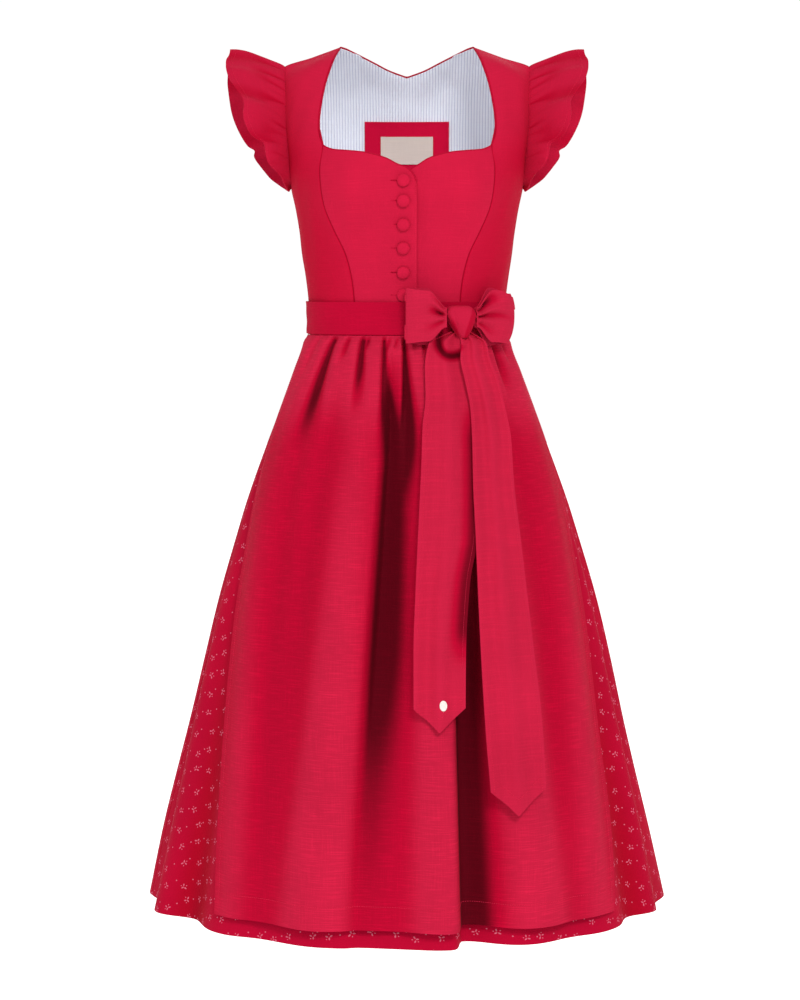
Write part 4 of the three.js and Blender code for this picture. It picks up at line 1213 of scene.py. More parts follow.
class Wardrobe:
    """Every finish of the dress, built once."""

    def __init__(self) -> None:
        """Build the finishes."""
        red = (0.515, 0.0076, 0.0395)
        # a painted-shade strength, where a cloth has one, is how far it is darkened with painted shade
        self.bodice = Linen("bodice_linen", red, slub=0.07, deep=1.0).material()
        self.sleeve = Linen("sleeve_linen", (0.49, 0.0065, 0.037), slub=0.06, deep=0.9).material()
        self.piping = Linen("piping_linen", (0.40, 0.0022, 0.024), slub=0.04,
                            coordinates=Coordinates.OBJECT).material()
        self.button = Linen("button_linen", red, slub=0.05, coordinates=Coordinates.OBJECT).material()
        # the lining's glow is painted light
        self.lining = Pinstripe("striped_lining", (0.83, 0.87, 0.935), slub=0.03, nap=0.1,
                                glow=0.03).material()
        self.patch = Linen("patch_linen", (0.60, 0.0027, 0.038), slub=0.05).material()
        self.label = Linen("woven_label", (0.685, 0.58, 0.515), thread=0.4, slub=0.06, nap=0.1).material()
        self.skirt = SprigPrint("sprig_print", (0.43, 0.0008, 0.025), slub=0.04, nap=0.2,
                                deep=0.8).material()
        self.skirt_back = Linen("print_reverse", (0.38, 0.008, 0.033), slub=0.04).material()
        self.apron = Linen("apron_linen", (0.505, 0.0100, 0.043), thread=1.2, slub=0.15, nap=0.3,
                           deep=1.0).material()
        self.belt = Linen("belt_linen", (0.425, 0.0006, 0.024), thread=0.9, slub=0.08, nap=0.3).material()
        self.sash = Linen("sash_linen", (0.49, 0.0105, 0.043), thread=1.2, slub=0.08, nap=0.3,
                          deep=1.0).material()
        self.knot = Linen("knot_linen", (0.48, 0.0085, 0.040), slub=0.05, deep=1.0,
                          coordinates=Coordinates.OBJECT).material()
        self.thread = Linen("sewing_thread", (0.64, 0.018, 0.062), slub=0.04,
                            coordinates=Coordinates.OBJECT).material()
        self.tag = SmoothTag("bare_tag", (0.78, 0.72, 0.66)).material()


@dataclass(frozen=True)
class Stitch:
    """One kind of stitch: from one to the next, its length and its thread's radius, in mm."""

    spacing: float
    length: float
    radius: float


class Stitches:
    """Geometry nodes that sew a line of stitches along a path."""

    def __init__(self, material: Material) -> None:
        """Build the node tree.

        Args:
            material: The thread.
        """
        self.tree = tree = bpy.data.node_groups.new("line_of_stitches", "GeometryNodeTree")
        face = tree.interface
        face.new_socket("Geometry", in_out="INPUT", socket_type="NodeSocketGeometry")
        for name, value in (("Spacing", 0.0026), ("Stitch length", 0.0017), ("Thread radius", 0.0003)):
            face.new_socket(name, in_out="INPUT", socket_type="NodeSocketFloat").default_value = value
        face.new_socket("Geometry", in_out="OUTPUT", socket_type="NodeSocketGeometry")
        given, result = tree.nodes.new("NodeGroupInput"), tree.nodes.new("NodeGroupOutput")

        def add(kind: str, **inputs: object) -> Node:
            """Add a node.

            Args:
                kind: The node's type.
                inputs: Outputs or values for its inputs by name, with _ for a space.

            Returns:
                The node.
            """
            node = tree.nodes.new(kind)
            for name, value in inputs.items():
                socket = node.inputs[name.replace("_", " ")]
                if isinstance(value, NodeSocket):
                    tree.links.new(value, socket)
                else:
                    socket.default_value = value
            return node

        path = add("GeometryNodeMeshToCurve", Mesh=given.outputs["Geometry"])
        steps = add("GeometryNodeResampleCurve", Curve=path.outputs[0])
        steps.mode = "LENGTH"
        tree.links.new(given.outputs["Spacing"], steps.inputs["Length"])
        ends = []
        for share in (-0.5, 0.5):
            half = add("ShaderNodeVectorMath")
            half.operation = "MULTIPLY"
            half.inputs[1].default_value = (share, 0.0, 0.0)
            tree.links.new(given.outputs["Stitch length"], half.inputs[0])
            ends.append(half.outputs[0])
        line = add("GeometryNodeCurvePrimitiveLine", Start=ends[0], End=ends[1])
        ring = add("GeometryNodeCurvePrimitiveCircle", Resolution=5, Radius=given.outputs["Thread radius"])
        stitch = add("GeometryNodeCurveToMesh", Curve=line.outputs[0], Profile_Curve=ring.outputs[0],
                     Fill_Caps=True)
        tangent = tree.nodes.new("GeometryNodeInputTangent")
        turn = add("FunctionNodeAlignRotationToVector", Vector=tangent.outputs[0])
        turn.axis = "X"
        copies = add("GeometryNodeInstanceOnPoints", Points=steps.outputs[0], Instance=stitch.outputs[0],
                     Rotation=turn.outputs[0])
        real = add("GeometryNodeRealizeInstances", Geometry=copies.outputs[0])
        paint = add("GeometryNodeSetMaterial", Geometry=real.outputs[0], Material=material)
        tree.links.new(paint.outputs[0], result.inputs[0])

    def sew(self, name: str, path: Array, stitch: Stitch) -> Object:
        """Sew one line.

        Args:
            name: Name of the piece.
            path: Points of the line in mm.
            stitch: The kind of stitch.

        Returns:
            The stitches as one plain mesh.
        """
        mesh = bpy.data.meshes.new(name)
        edges = [(i, i + 1) for i in range(len(path) - 1)]
        mesh.from_pydata((path * MM).tolist(), edges, [])
        obj = add_object(name, mesh)
        modifier = obj.modifiers.new("stitches", "NODES")
        modifier.node_group = self.tree
        sizes = {"Spacing": stitch.spacing, "Stitch length": stitch.length, "Thread radius": stitch.radius}
        for item in self.tree.interface.items_tree:
            if item.in_out == "INPUT" and item.name in sizes:
                modifier[item.identifier] = sizes[item.name] * MM
        bpy.context.view_layer.update()
        seen = obj.evaluated_get(bpy.context.evaluated_depsgraph_get())
        obj.data = bpy.data.meshes.new_from_object(seen)
        obj.modifiers.clear()
        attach(obj, "root")
        return obj


def dress(obj: Object, nodes: Sequence[str], sheet: Sheet | None = None) -> None:
    """Tie a finished piece to the frame.

    Args:
        obj: The piece.
        nodes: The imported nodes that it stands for.
        sheet: Its cloth, where it is a sheet.
    """
    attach(obj, "root")
    if nodes:
        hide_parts(*nodes)
    if sheet is not None:
        width, length = sheet.flat()
        area = min(max(sheet.area(), LEAST_FILL * width * length), width * length)
    LOG.info("%s: %d faces", obj.name, len(obj.data.polygons))


# Bodice


SIDE_ROWS = (-311.85, -292, -262, -236, -210, -181, -158)
FRONT_SEAM = (
    Edge(-311.85, 62), Edge(-292, 62.5), Edge(-262, 66), Edge(-236, 73), Edge(-210, 85.5),
    Edge(-181, 97.5), Edge(-158, 101.5), Edge(-135, 102.5), Edge(-111, 99),
)
FRONT_NECK = (Edge(-98, 103), Edge(-83, 104.5), Edge(-40, 98.6), Edge(-7, 89))
BACK_SEAM = (
    Edge(-311.85, 34), Edge(-292, 35), Edge(-262, 39), Edge(-236, 44), Edge(-210, 50),
    Edge(-181, 56), Edge(-158, 59), Edge(-130, 61), Edge(-105, 61), Edge(-82, 60.6),
    Edge(-60, 59.6), Edge(-32, 57.6), Edge(2, 54),
)
BACK_NECK = (Edge(8.6, 68),)
FRONT_ARMHOLE = (
    Edge(-147, 139.4), Edge(-131, 140.6), Edge(-111, 142.4), Edge(-88, 144.6), Edge(-60, 145.7),
    Edge(-33, 146.6),
)
BACK_ARMHOLE = (
    Edge(-147, 139.4), Edge(-131, 140.6), Edge(-110, 142.5), Edge(-88, 144.6), Edge(-66, 145.6),
    Edge(-46, 146.1), Edge(-28, 146.9),
)
RIGHT_NECKLINE = Curve(
    (-11, -8.5, -5.4, 0, 3.5, 11.6, 23, 35, 52, 70, 87, 99),
    (-158, -149.5, -143.6, -138.5, -136.4, -133.6, -127.4, -123.1, -119.2, -117.3, -115.8, -111))
LEFT_NECKLINE = Curve(
    (-6, 0, 4.6, 11.6, 23, 35, 52, 70, 87, 99),
    (-152, -143, -138.6, -134.3, -127.4, -123.1, -119.2, -117.3, -115.8, -111))
BACK_NECKLINE = Curve((0, 22, 38, 54), (-20, -12.7, -5.2, 2))
FRONTS = ("bodice_front_right", "bodice_front_left")


@dataclass
class Bodice:
    """The fitted bodice: two fronts, four side panels with their straps, the back and its lining.

    front_seam and back_seam are the shares of a side panel's long edge that its seams take up.
    """

    finishes: Wardrobe
    rows: int = 96
    columns: int = 44
    top_edge: float = 11.0
    under_edge: float = -6.0
    under_sink: float = 2.9
    ripple: float = 0.35
    calm: float = 12.0
    side_columns: int = 30
    piping_radius: float = 1.05
    front_seam: float = 0.655
    back_seam: float = 0.955

    @staticmethod
    def strap_edges(side: Side, on_back: bool) -> tuple[Array, Array]:
        """Turn and height of a side panel's two long edges at each of its rows.

        Args:
            side: The wearer's side.
            on_back: Whether it is a back panel.

        Returns:
            The inner edge and the outer edge, one row to a seam point.
        """
        seam = [*BACK_SEAM, *BACK_NECK] if on_back else [*FRONT_SEAM, *FRONT_NECK]
        hole = BACK_ARMHOLE if on_back else FRONT_ARMHOLE
        middle = math.pi / 2

        def line(rows: Sequence[Edge]) -> list[tuple[float, float]]:
            """Turn and height of each row of a table."""
            return [(float(FORM.body_turn(row.x, row.z, on_back)), row.z) for row in rows]

        inner = [*line(seam), (middle, 12.0)]
        outer = [*((middle, z) for z in SIDE_ROWS), *line(hole), (middle, -12.0)]
        return np.array(inner) * (side, 1), np.array(outer) * (side, 1)

    def strap_grid(self, side: Side, on_back: bool) -> Array:
        """The grid of a side panel from the waist to its shoulder seam.

        Args:
            side: The wearer's side.
            on_back: Whether it is a back panel.

        Returns:
            The grid.
        """
        inner, outer = self.strap_edges(side, on_back)
        shares = clustered(self.side_columns, 50)[None, :, None]
        both = mix(inner[:, None], outer[:, None], shares)
        points = through_rows(FORM.body(both[..., 0], both[..., 1]), self.rows + 10)
        return self.soften(points, 3 + side + 4 * on_back)

    def soften(self, points: Array, seed: int) -> Array:
        """Add the cloth's slight ripples to a panel, none at its edges.

        Args:
            points: The panel's grid.
            seed: Seed of its ripples.

        Returns:
            The rippled grid.
        """
        across, up = along(points, 1), along(points, 0)
        aside = np.minimum(across, across[:, -1:] - across)
        edge = smooth(aside / self.calm) * smooth(np.minimum(up, up[-1:] - up) / self.calm)
        wave = self.ripple * edge * wrinkles(across, up * 0.45, length=34, seed=seed)
        return points + grid_normals(points) * wave[..., None]

    def centre_panel(self, side: Side, edge_x: float, neckline: Curve, sunk: bool) -> Array:
        """The grid of one front, from its buttoned edge to the princess seam.

        Args:
            side: The wearer's side.
            edge_x: How far the buttoned edge is from the middle, to its own side.
            neckline: Height of the neckline by that distance.
            sunk: Whether it lies under the other front.

        Returns:
            The grid.
        """
        shares = clustered(self.columns, 70)[None, :]
        bottom, top = FRONT_SEAM[0].z, FRONT_SEAM[-1]
        rise = np.array([(row.z - bottom) / (top.z - bottom) for row in FRONT_SEAM])[:, None]
        x = mix(edge_x, np.array([row.x for row in FRONT_SEAM])[:, None], shares)
        z = mix(bottom, neckline(mix(edge_x, top.x, shares)), rise)
        turn = FORM.body_turn(side * x, z, False)
        points = FORM.body(turn, z)
        if sunk:
            sink = self.under_sink * (1 - smooth((x - 12) / 16))
            points = points - FORM.body_normal(turn, z) * sink[..., None]
        return self.soften(through_rows(points, self.rows), 11 + side)

    def back_panel(self) -> Array:
        """The grid of the back's middle.

        Returns:
            The grid.
        """
        bottom, top = BACK_SEAM[0].z, BACK_SEAM[-1]
        shares = clustered(self.columns + 20, 110)[None, :] * 2 - 1
        rise = np.array([(row.z - bottom) / (top.z - bottom) for row in BACK_SEAM])[:, None]
        z = mix(bottom, BACK_NECKLINE(np.abs(shares) * top.x), rise)
        x = shares * np.array([row.x for row in BACK_SEAM])[:, None]
        points = FORM.body(FORM.body_turn(x, z, True), z)
        return self.soften(through_rows(points, self.rows + 10), 21)

    def neck_path(self, panels: dict[str, Array]) -> Array:
        """The line of the neck piping, from the right front over the back to the left front.

        Args:
            panels: The grids of the bodice's panels by name.

        Returns:
            Centres of the cord.
        """
        def rim(name: str, column: bool, first: float = 0.0) -> Array:
            """The cord's line on one panel.

            Args:
                name: Name of the panel.
                column: Whether it follows the first column, not the top row.
                first: Share of that edge that is left out at its start.

            Returns:
                Points of the line.
            """
            grid = panels[name]
            edge, within = (grid[:, 0], grid[:, 3]) if column else (grid[-1], grid[-4])
            normal = grid_normals(grid)[:, 0] if column else grid_normals(grid)[-1]
            normal = normal * np.sign(np.sum(normal * (edge - (0, 0, -150)), axis=1, keepdims=True))
            into = unit(within - edge)
            line = edge - into * (self.piping_radius - 0.35) - normal * (BODICE_WALL / 2 - 0.2)
            return line[round(first * len(line)):]

        seam = self.front_seam
        back_seam = self.back_seam
        parts = [
            rim("bodice_front_right", False, 0.03), rim("bodice_side_front_right", True, seam),
            rim("bodice_side_back_right", True, back_seam)[::-1], rim("bodice_back", False),
            rim("bodice_side_back_left", True, back_seam),
            rim("bodice_side_front_left", True, seam)[::-1], rim("bodice_front_left", False, 0.12)[::-1],
        ]
        path = np.concatenate(parts)
        run = along(path[None], 1)[0]
        keep = np.concatenate([[True], np.diff(run) > 0.05])
        even = np.linspace(0, run[-1], 460)
        path = np.stack([np.interp(even, run[keep], path[keep, axis]) for axis in range(3)], axis=1)
        for _ in range(2):
            path[1:-1] = (path[:-2] + 2 * path[1:-1] + path[2:]) / 4
        return path

    def build(self) -> None:
        """Make and dress every panel."""
        f = self.finishes
        panels = {
            "bodice_front_right": self.centre_panel(Side.RIGHT, -self.top_edge, RIGHT_NECKLINE, False),
            "bodice_front_left": self.centre_panel(Side.LEFT, self.under_edge, LEFT_NECKLINE, True),
            "bodice_side_front_right": self.strap_grid(Side.RIGHT, False),
            "bodice_side_front_left": self.strap_grid(Side.LEFT, False),
            "bodice_side_back_right": self.strap_grid(Side.RIGHT, True),
            "bodice_side_back_left": self.strap_grid(Side.LEFT, True),
            "bodice_back": self.back_panel(),
        }
        inside = BACK_WALL + SEAM_GAP
        for name, points in panels.items():
            front = "front" in name
            seams = Seam.END if name in FRONTS else Seam.START | Seam.END
            if "side" in name:
                seams |= Seam.TOP
            # painted shade: the side panels are darkened towards the side seams and from the bust down
            away = np.linspace(0.4, 1, points.shape[1])[None, :]
            shade = 0.52 * away * smooth((-60 - points[..., 2]) / 90) if "side" in name else 0.0
            sheet = Sheet(name, points, BODICE_WALL if front else BACK_WALL, seams=seams,
                          deep=shade + 0 * points[..., 0])
            obj = sheet.build(f.bodice, f.lining if front else None)
            dress(obj, [name], sheet)
            if not front:
                lining = name.replace("bodice", "lining")
                sheet = Sheet(lining, points, LINING_WALL, start=inside, uv=points[..., [0, 2]] * MM)
                dress(sheet.build(f.lining), [lining], sheet)
        piping = cord_object("neck_piping", self.neck_path(panels), self.piping_radius)
        piping.data.materials.append(f.piping)
        dress(piping, ["neck_piping"])


@dataclass
class Closure:
    """The covered buttons, their buttonholes and the stitched placket edge."""

    finishes: Wardrobe
    stitches: Stitches
    dark: Stitches
    x: float = -4.6
    rows: tuple[float, ...] = (-151.9, -175, -202.3, -229.6, -258, -284.6)
    radius: float = 7.5
    height: float = 5.0
    seat: float = 0.8
    hole_shift: float = -6.0
    hole_size: tuple[float, float] = (8.5, 0.5)
    hole_stitch: Stitch = Stitch(0.9, 0.85, 0.42)
    placket_x: float = 9.6
    placket_span: tuple[float, float] = (-300.0, -150.0)
    edge_stitch: Stitch = Stitch(2.4, 1.6, 0.22)

    def on_front(self, x: Array, z: Array, lift: float) -> Array:
        """Points at x and z, lifted off the front."""
        turn = FORM.body_turn(x, z, False)
        return FORM.body(turn, z) + FORM.body_normal(turn, z) * lift

    def button(self, index: int, z: float) -> None:
        """Make one domed button with its cloth drawn in underneath.

        Args:
            index: Its number, from the top.
            z: Its height.
        """
        turn = FORM.body_turn(self.x, z, False)
        axes = upright(FORM.body_normal(turn, z))
        angle = np.linspace(0, math.pi / 2, 12)
        dome = [(math.cos(a) ** 0.8, 0.32 + 0.68 * math.sin(a)) for a in angle[:-1]]
        shares = np.array([(0, 0), (0.8, 0), (0.95, 0.12), *dome, (0, 1)])
        profile = shares * (self.radius, self.height)
        centre = self.on_front(self.x, z, self.seat)
        obj = lathe(f"button_{index}", centre, axes, profile, 40)
        obj.data.materials.append(self.finishes.button)
        dress(obj, [f"button_{index}"])

    def build(self) -> None:
        """Make the buttons, then sew the holes and the edge."""
        for index, z in enumerate(self.rows, start=1):
            self.button(index, z)
            turn = np.linspace(0, 2 * math.pi, 40)
            half, rise = self.hole_size
            x = self.x + self.hole_shift + half * signed_power(np.cos(turn), 0.5)
            height = z + rise * signed_power(np.sin(turn), 0.5)
            hole = self.dark.sew(f"buttonhole_{index}", self.on_front(x, height, 0.15), self.hole_stitch)
        z = np.linspace(*self.placket_span, 120)
        line = self.on_front(self.placket_x + 0 * z, z, 0.05)
        edge = self.stitches.sew("placket_stitches", line, self.edge_stitch)


@dataclass
class NeckLabel:
    """The patch inside the back of the neck and the bare woven label on it."""

    finishes: Wardrobe
    stitches: Stitches
    patch: tuple[float, float, float] = (53, -71, -171)
    label: tuple[float, float, float] = (33, -90, -124.5)
    wall: float = 1.0
    patch_gap: float = 1.0
    label_gap: float = 0.5

    def grid(self, size: tuple[float, float, float]) -> Array:
        """Points of the back's outer face over a flat piece's outline.

        Args:
            size: The outline's half width, top and bottom.

        Returns:
            The grid.
        """
        half, top, bottom = size
        x = np.linspace(-half, half, 60)[None, :]
        z = np.linspace(bottom, top, 40)[:, None]
        return FORM.body(FORM.body_turn(x + 0 * z, z + 0 * x, True), z + 0 * x)

    def build(self) -> None:
        """Make the patch and the label."""
        depth = BACK_WALL + SEAM_GAP + LINING_WALL + self.patch_gap
        sheet = Sheet("label_patch", self.grid(self.patch), self.wall, start=depth)
        dress(sheet.build(self.finishes.patch), ["label_patch"], sheet)
        depth += self.wall + self.label_gap
        sheet = Sheet("label", self.grid(self.label), self.wall, start=depth)
        dress(sheet.build(self.finishes.label), ["label"], sheet)


@dataclass(frozen=True)
class Spot:
    """A point of the sleeve's free edge, for the wearer's left."""

    x: float
    y: float
    z: float


SLEEVE_EDGE = (
    Spot(143, -12, -161), Spot(152, -42, -143), Spot(162, -56, -130),
    Spot(167, -63, -117), Spot(171, -68, -105), Spot(183, -76, -96),
    Spot(190, -77, -77), Spot(193, -70, -58), Spot(201, -57, -41), Spot(212, -38, -26),
    Spot(216, -16, -6), Spot(212, 6, 7), Spot(216, 28, -4), Spot(219, 46, -24),
    Spot(217, 62, -50), Spot(211, 70, -76), Spot(197, 73, -101), Spot(187, 71, -110),
    Spot(187, 68, -118), Spot(178, 61, -131), Spot(167, 51, -144), Spot(155, 35, -153),
    Spot(143, 12, -161),
)


def smooth_path(knots: Array, count: int) -> Array:
    """A smooth path through knots, evenly spaced along its length.

    Args:
        knots: Points, one to a row.
        count: How many points the path has.

    Returns:
        The path's points.
    """
    before, after = 2 * knots[0] - knots[1], 2 * knots[-1] - knots[-2]
    line = np.concatenate([before[None], knots, after[None]])
    t = np.linspace(0, 1, 40, endpoint=False)[:, None]
    pieces = []
    for p0, p1, p2, p3 in zip(line, line[1:], line[2:], line[3:]):
        d0, d1, d2 = (max(np.linalg.norm(b - a), 1e-6) ** 0.5 for a, b in ((p0, p1), (p1, p2), (p2, p3)))
        m1 = ((p1 - p0) / d0 - (p2 - p0) / (d0 + d1) + (p2 - p1) / d1) * d1
        m2 = ((p2 - p1) / d1 - (p3 - p1) / (d1 + d2) + (p3 - p2) / d2) * d1
        pieces.append(between(t, p1, m1, p2, m2))
    dense = np.concatenate([*pieces, knots[-1:]])
    run = along(dense[None], 1)[0]
    even = np.linspace(0, run[-1], count)
    return np.stack([np.interp(even, run, dense[:, axis]) for axis in range(3)], axis=1)


@dataclass
class FlutterSleeve:
    """A gathered ruffle round the armhole, open under the arm."""

    finishes: Wardrobe
    stitches: Stitches
    bodice: Bodice
    columns: int = 260
    rows: int = 34
    wall: float = 1.2
    tuck: float = 0.7
    waves: float = 7.4
    wave_height: float = 9.0
    scallop: float = 2.0
    arch: float = 6.5
    taper: float = 0.12
    outward_lean: float = 0.35
    first_wave: float = 1.03
    sway: float = 0.9
    hem_share: float = 0.88
    stitch: Stitch = Stitch(2.8, 1.7, 0.24)
    gathers: Gathers = Gathers(seed=5, spacing=12.0, depth=5.0, wide=1.3, length=34, widen=0.07, start=3.0)

    def armhole(self, side: Side) -> Array:
        """The armhole's seam from the front of the underarm over the shoulder to its back.

        Args:
            side: The wearer's side.

        Returns:
            Points of the seam.
        """
        edges = []
        for on_back in (False, True):
            grid = self.bodice.strap_grid(side, on_back)
            normal = grid_normals(grid)[:, -1]
            normal = normal * np.sign(normal[:, :1] * side)
            within = unit(grid[:, -4] - grid[:, -1])
            line = grid[:, -1] + self.tuck * within - 0.6 * normal
            edges.append(line[grid[:, -1, 2] >= UNDERARM_Z])
        return np.concatenate([edges[0], edges[1][::-1][1:]])

    def build_side(self, name: str, side: Side) -> None:
        """Make one sleeve and its hem stitches.

        Args:
            name: Name of the piece.
            side: The wearer's side.
        """
        knots = self.armhole(side)
        lengths = along(knots[None], 1)[0]
        even = np.linspace(0, lengths[-1], self.columns)
        root = np.stack([np.interp(even, lengths, knots[:, axis]) for axis in range(3)], axis=1)
        free_knots = np.array([[side * p.x, p.y, p.z] for p in SLEEVE_EDGE])
        free = smooth_path(free_knots, self.columns)
        share = np.linspace(0, 1, self.columns)[None, :]
        reach = np.linspace(0, 1, self.rows)[:, None]
        body = smooth(np.minimum(share, 1 - share) / self.taper)
        swing = (share - 0.5) * math.pi
        away = unit(np.stack([self.outward_lean * side + 0 * share, np.sin(swing), np.cos(swing)], axis=-1))
        lift = self.arch * np.sin(math.pi * reach) * body
        phase = 2 * math.pi * self.waves * share + self.first_wave + self.sway * np.sin(5 * share)
        calm = 1 - 0.75 * bell(share, 0.5, 0.09)
        wave = self.wave_height * 1.6 * reach * (1 - 0.75 * reach**2) * body * calm * np.sin(phase)
        radial = (free - root) / np.maximum(np.linalg.norm(free - root, axis=1, keepdims=True), 1.0)
        scallop = self.scallop * reach**2 * body * np.cos(phase) * smooth((0.42 - share) / 0.08)
        run = along(root[None], 1)
        length = np.linalg.norm(free - root, axis=1)[None, :]
        crease = self.gathers.height(run, reach * length, float(run[0, -1])) * body
        minor = 0.9 * np.sqrt(reach) * wrinkles(run, reach * 30, length=26, seed=31) * body
        points = root[None] * (1 - reach[..., None]) + free[None] * reach[..., None]
        points = points + away * (lift + wave + crease + minor)[..., None] + radial * scallop[..., None]
        normal = grid_normals(points)
        points = points + 0.5 * self.wall * normal * np.sign(np.sum(normal * away))
        uv = np.stack([run + 0 * reach, reach * length], axis=-1) * MM * np.array([1.6, 1.0])
        # painted shade in the gathers' creases and in the troughs of the flutes towards the free edge
        deep = kept(-crease / 4) * 0.8 + kept(-np.sin(phase)) * reach**0.7 * body * 0.42
        sheet = Sheet(name, points, self.wall, outward=away + 0 * points, uv=uv, deep=kept(deep))
        k = round(self.hem_share * (self.rows - 1))
        line = sheet.points[k] + 0.1 * sheet.normals[k]
        hem = self.stitches.sew(f"{name}_hem_stitches", line, self.stitch)
        dress(sheet.build(self.finishes.sleeve), [name], sheet)

    def build(self) -> None:
        """Make both sleeves."""
        self.build_side("sleeve_right", Side.RIGHT)
        self.build_side("sleeve_left", Side.LEFT)


# Skirt and apron


@dataclass
class Skirt:
    """The printed skirt: a front and two backs, gathered into the waist seam."""

    finishes: Wardrobe
    wall: float = 1.5
    rows: int = 104
    columns: int = 262
    apex: float = 419.0
    flare: float = 0.246
    tuck: float = 9.0
    per_degree: float = 1.85
    top: float = -312.15
    crowding: float = 1.15
    shade_depth: float = 22.0
    gathers: Gathers = Gathers(seed=8, spacing=10.0, depth=4.5, wide=1.9, length=200)
    creased: Array = field(init=False)

    def out(self, turn: Array, z: Array) -> Array:
        """Height of the skirt's cloth off its ring, gathers included. The painted shade of its creases is
        kept.

        Args:
            turn: Angle in radians.
            z: Height.

        Returns:
            The height.
        """
        open_share = 1 - FORM.under_apron(turn, z)
        across = (turn / DEG + 180) * self.per_degree
        crease = self.gathers.height(across, BELT_BOTTOM - z, 360 * self.per_degree)
        ripple = 0.9 * wrinkles(turn * 180, z * 0.16, length=46, seed=4) * smooth((-345 - z) / 120)
        # painted shade in the creases of the gathers, where the apron leaves the skirt open
        self.creased = kept(-crease * open_share / 6) * 0.6
        tuck = self.tuck * (1 - open_share) * smooth((-325 - z) / 10) * (1 - smooth((-420 - z) / 160))
        return FORM.skirt_out(turn, z) + (crease + ripple) * open_share - tuck

    def panel(self, name: str, start: float, end: float, columns: int) -> None:
        """Make one skirt panel between two turns in degrees.

        Args:
            name: Name of the piece.
            start: Its first turn.
            end: Its last turn.
            columns: Steps across its middle.
        """
        width = (end - start) * self.per_degree
        turn = mix(start, end, clustered(columns, width))[None, :] * DEG
        share = np.linspace(0, 1, self.rows) ** self.crowding
        z = mix(self.top, HEM_Z, share)[:, None]
        turn, z = np.broadcast_arrays(turn, z)
        points = FORM.skirt_ring(turn, z, self.out(turn, z))
        ray = self.apex + (WAIST_Z - z) * 1.03
        uv = np.stack([ray * np.sin(turn * self.flare), -ray * np.cos(turn * self.flare)], axis=-1) * MM
        # painted shade: the skirt is darkened in the troughs of its folds and in its creases
        trough = FORM.folds(SKIRT_FOLDS, turn, z)[1]
        deep = kept(self.creased + kept(-trough / self.shade_depth) * 0.8)
        sheet = Sheet(name, points[::-1], self.wall, uv=uv[::-1], seams=Seam.START | Seam.END,
                      deep=deep[::-1])
        obj = sheet.build(self.finishes.skirt, self.finishes.skirt_back)
        dress(obj, [name], sheet)

    def build(self) -> None:
        """Make the three panels."""
        self.panel("skirt_front", -90, 90, self.columns)
        self.panel("skirt_back_left", 90, 180, self.columns // 2)
        self.panel("skirt_back_right", -180, -90, self.columns // 2)


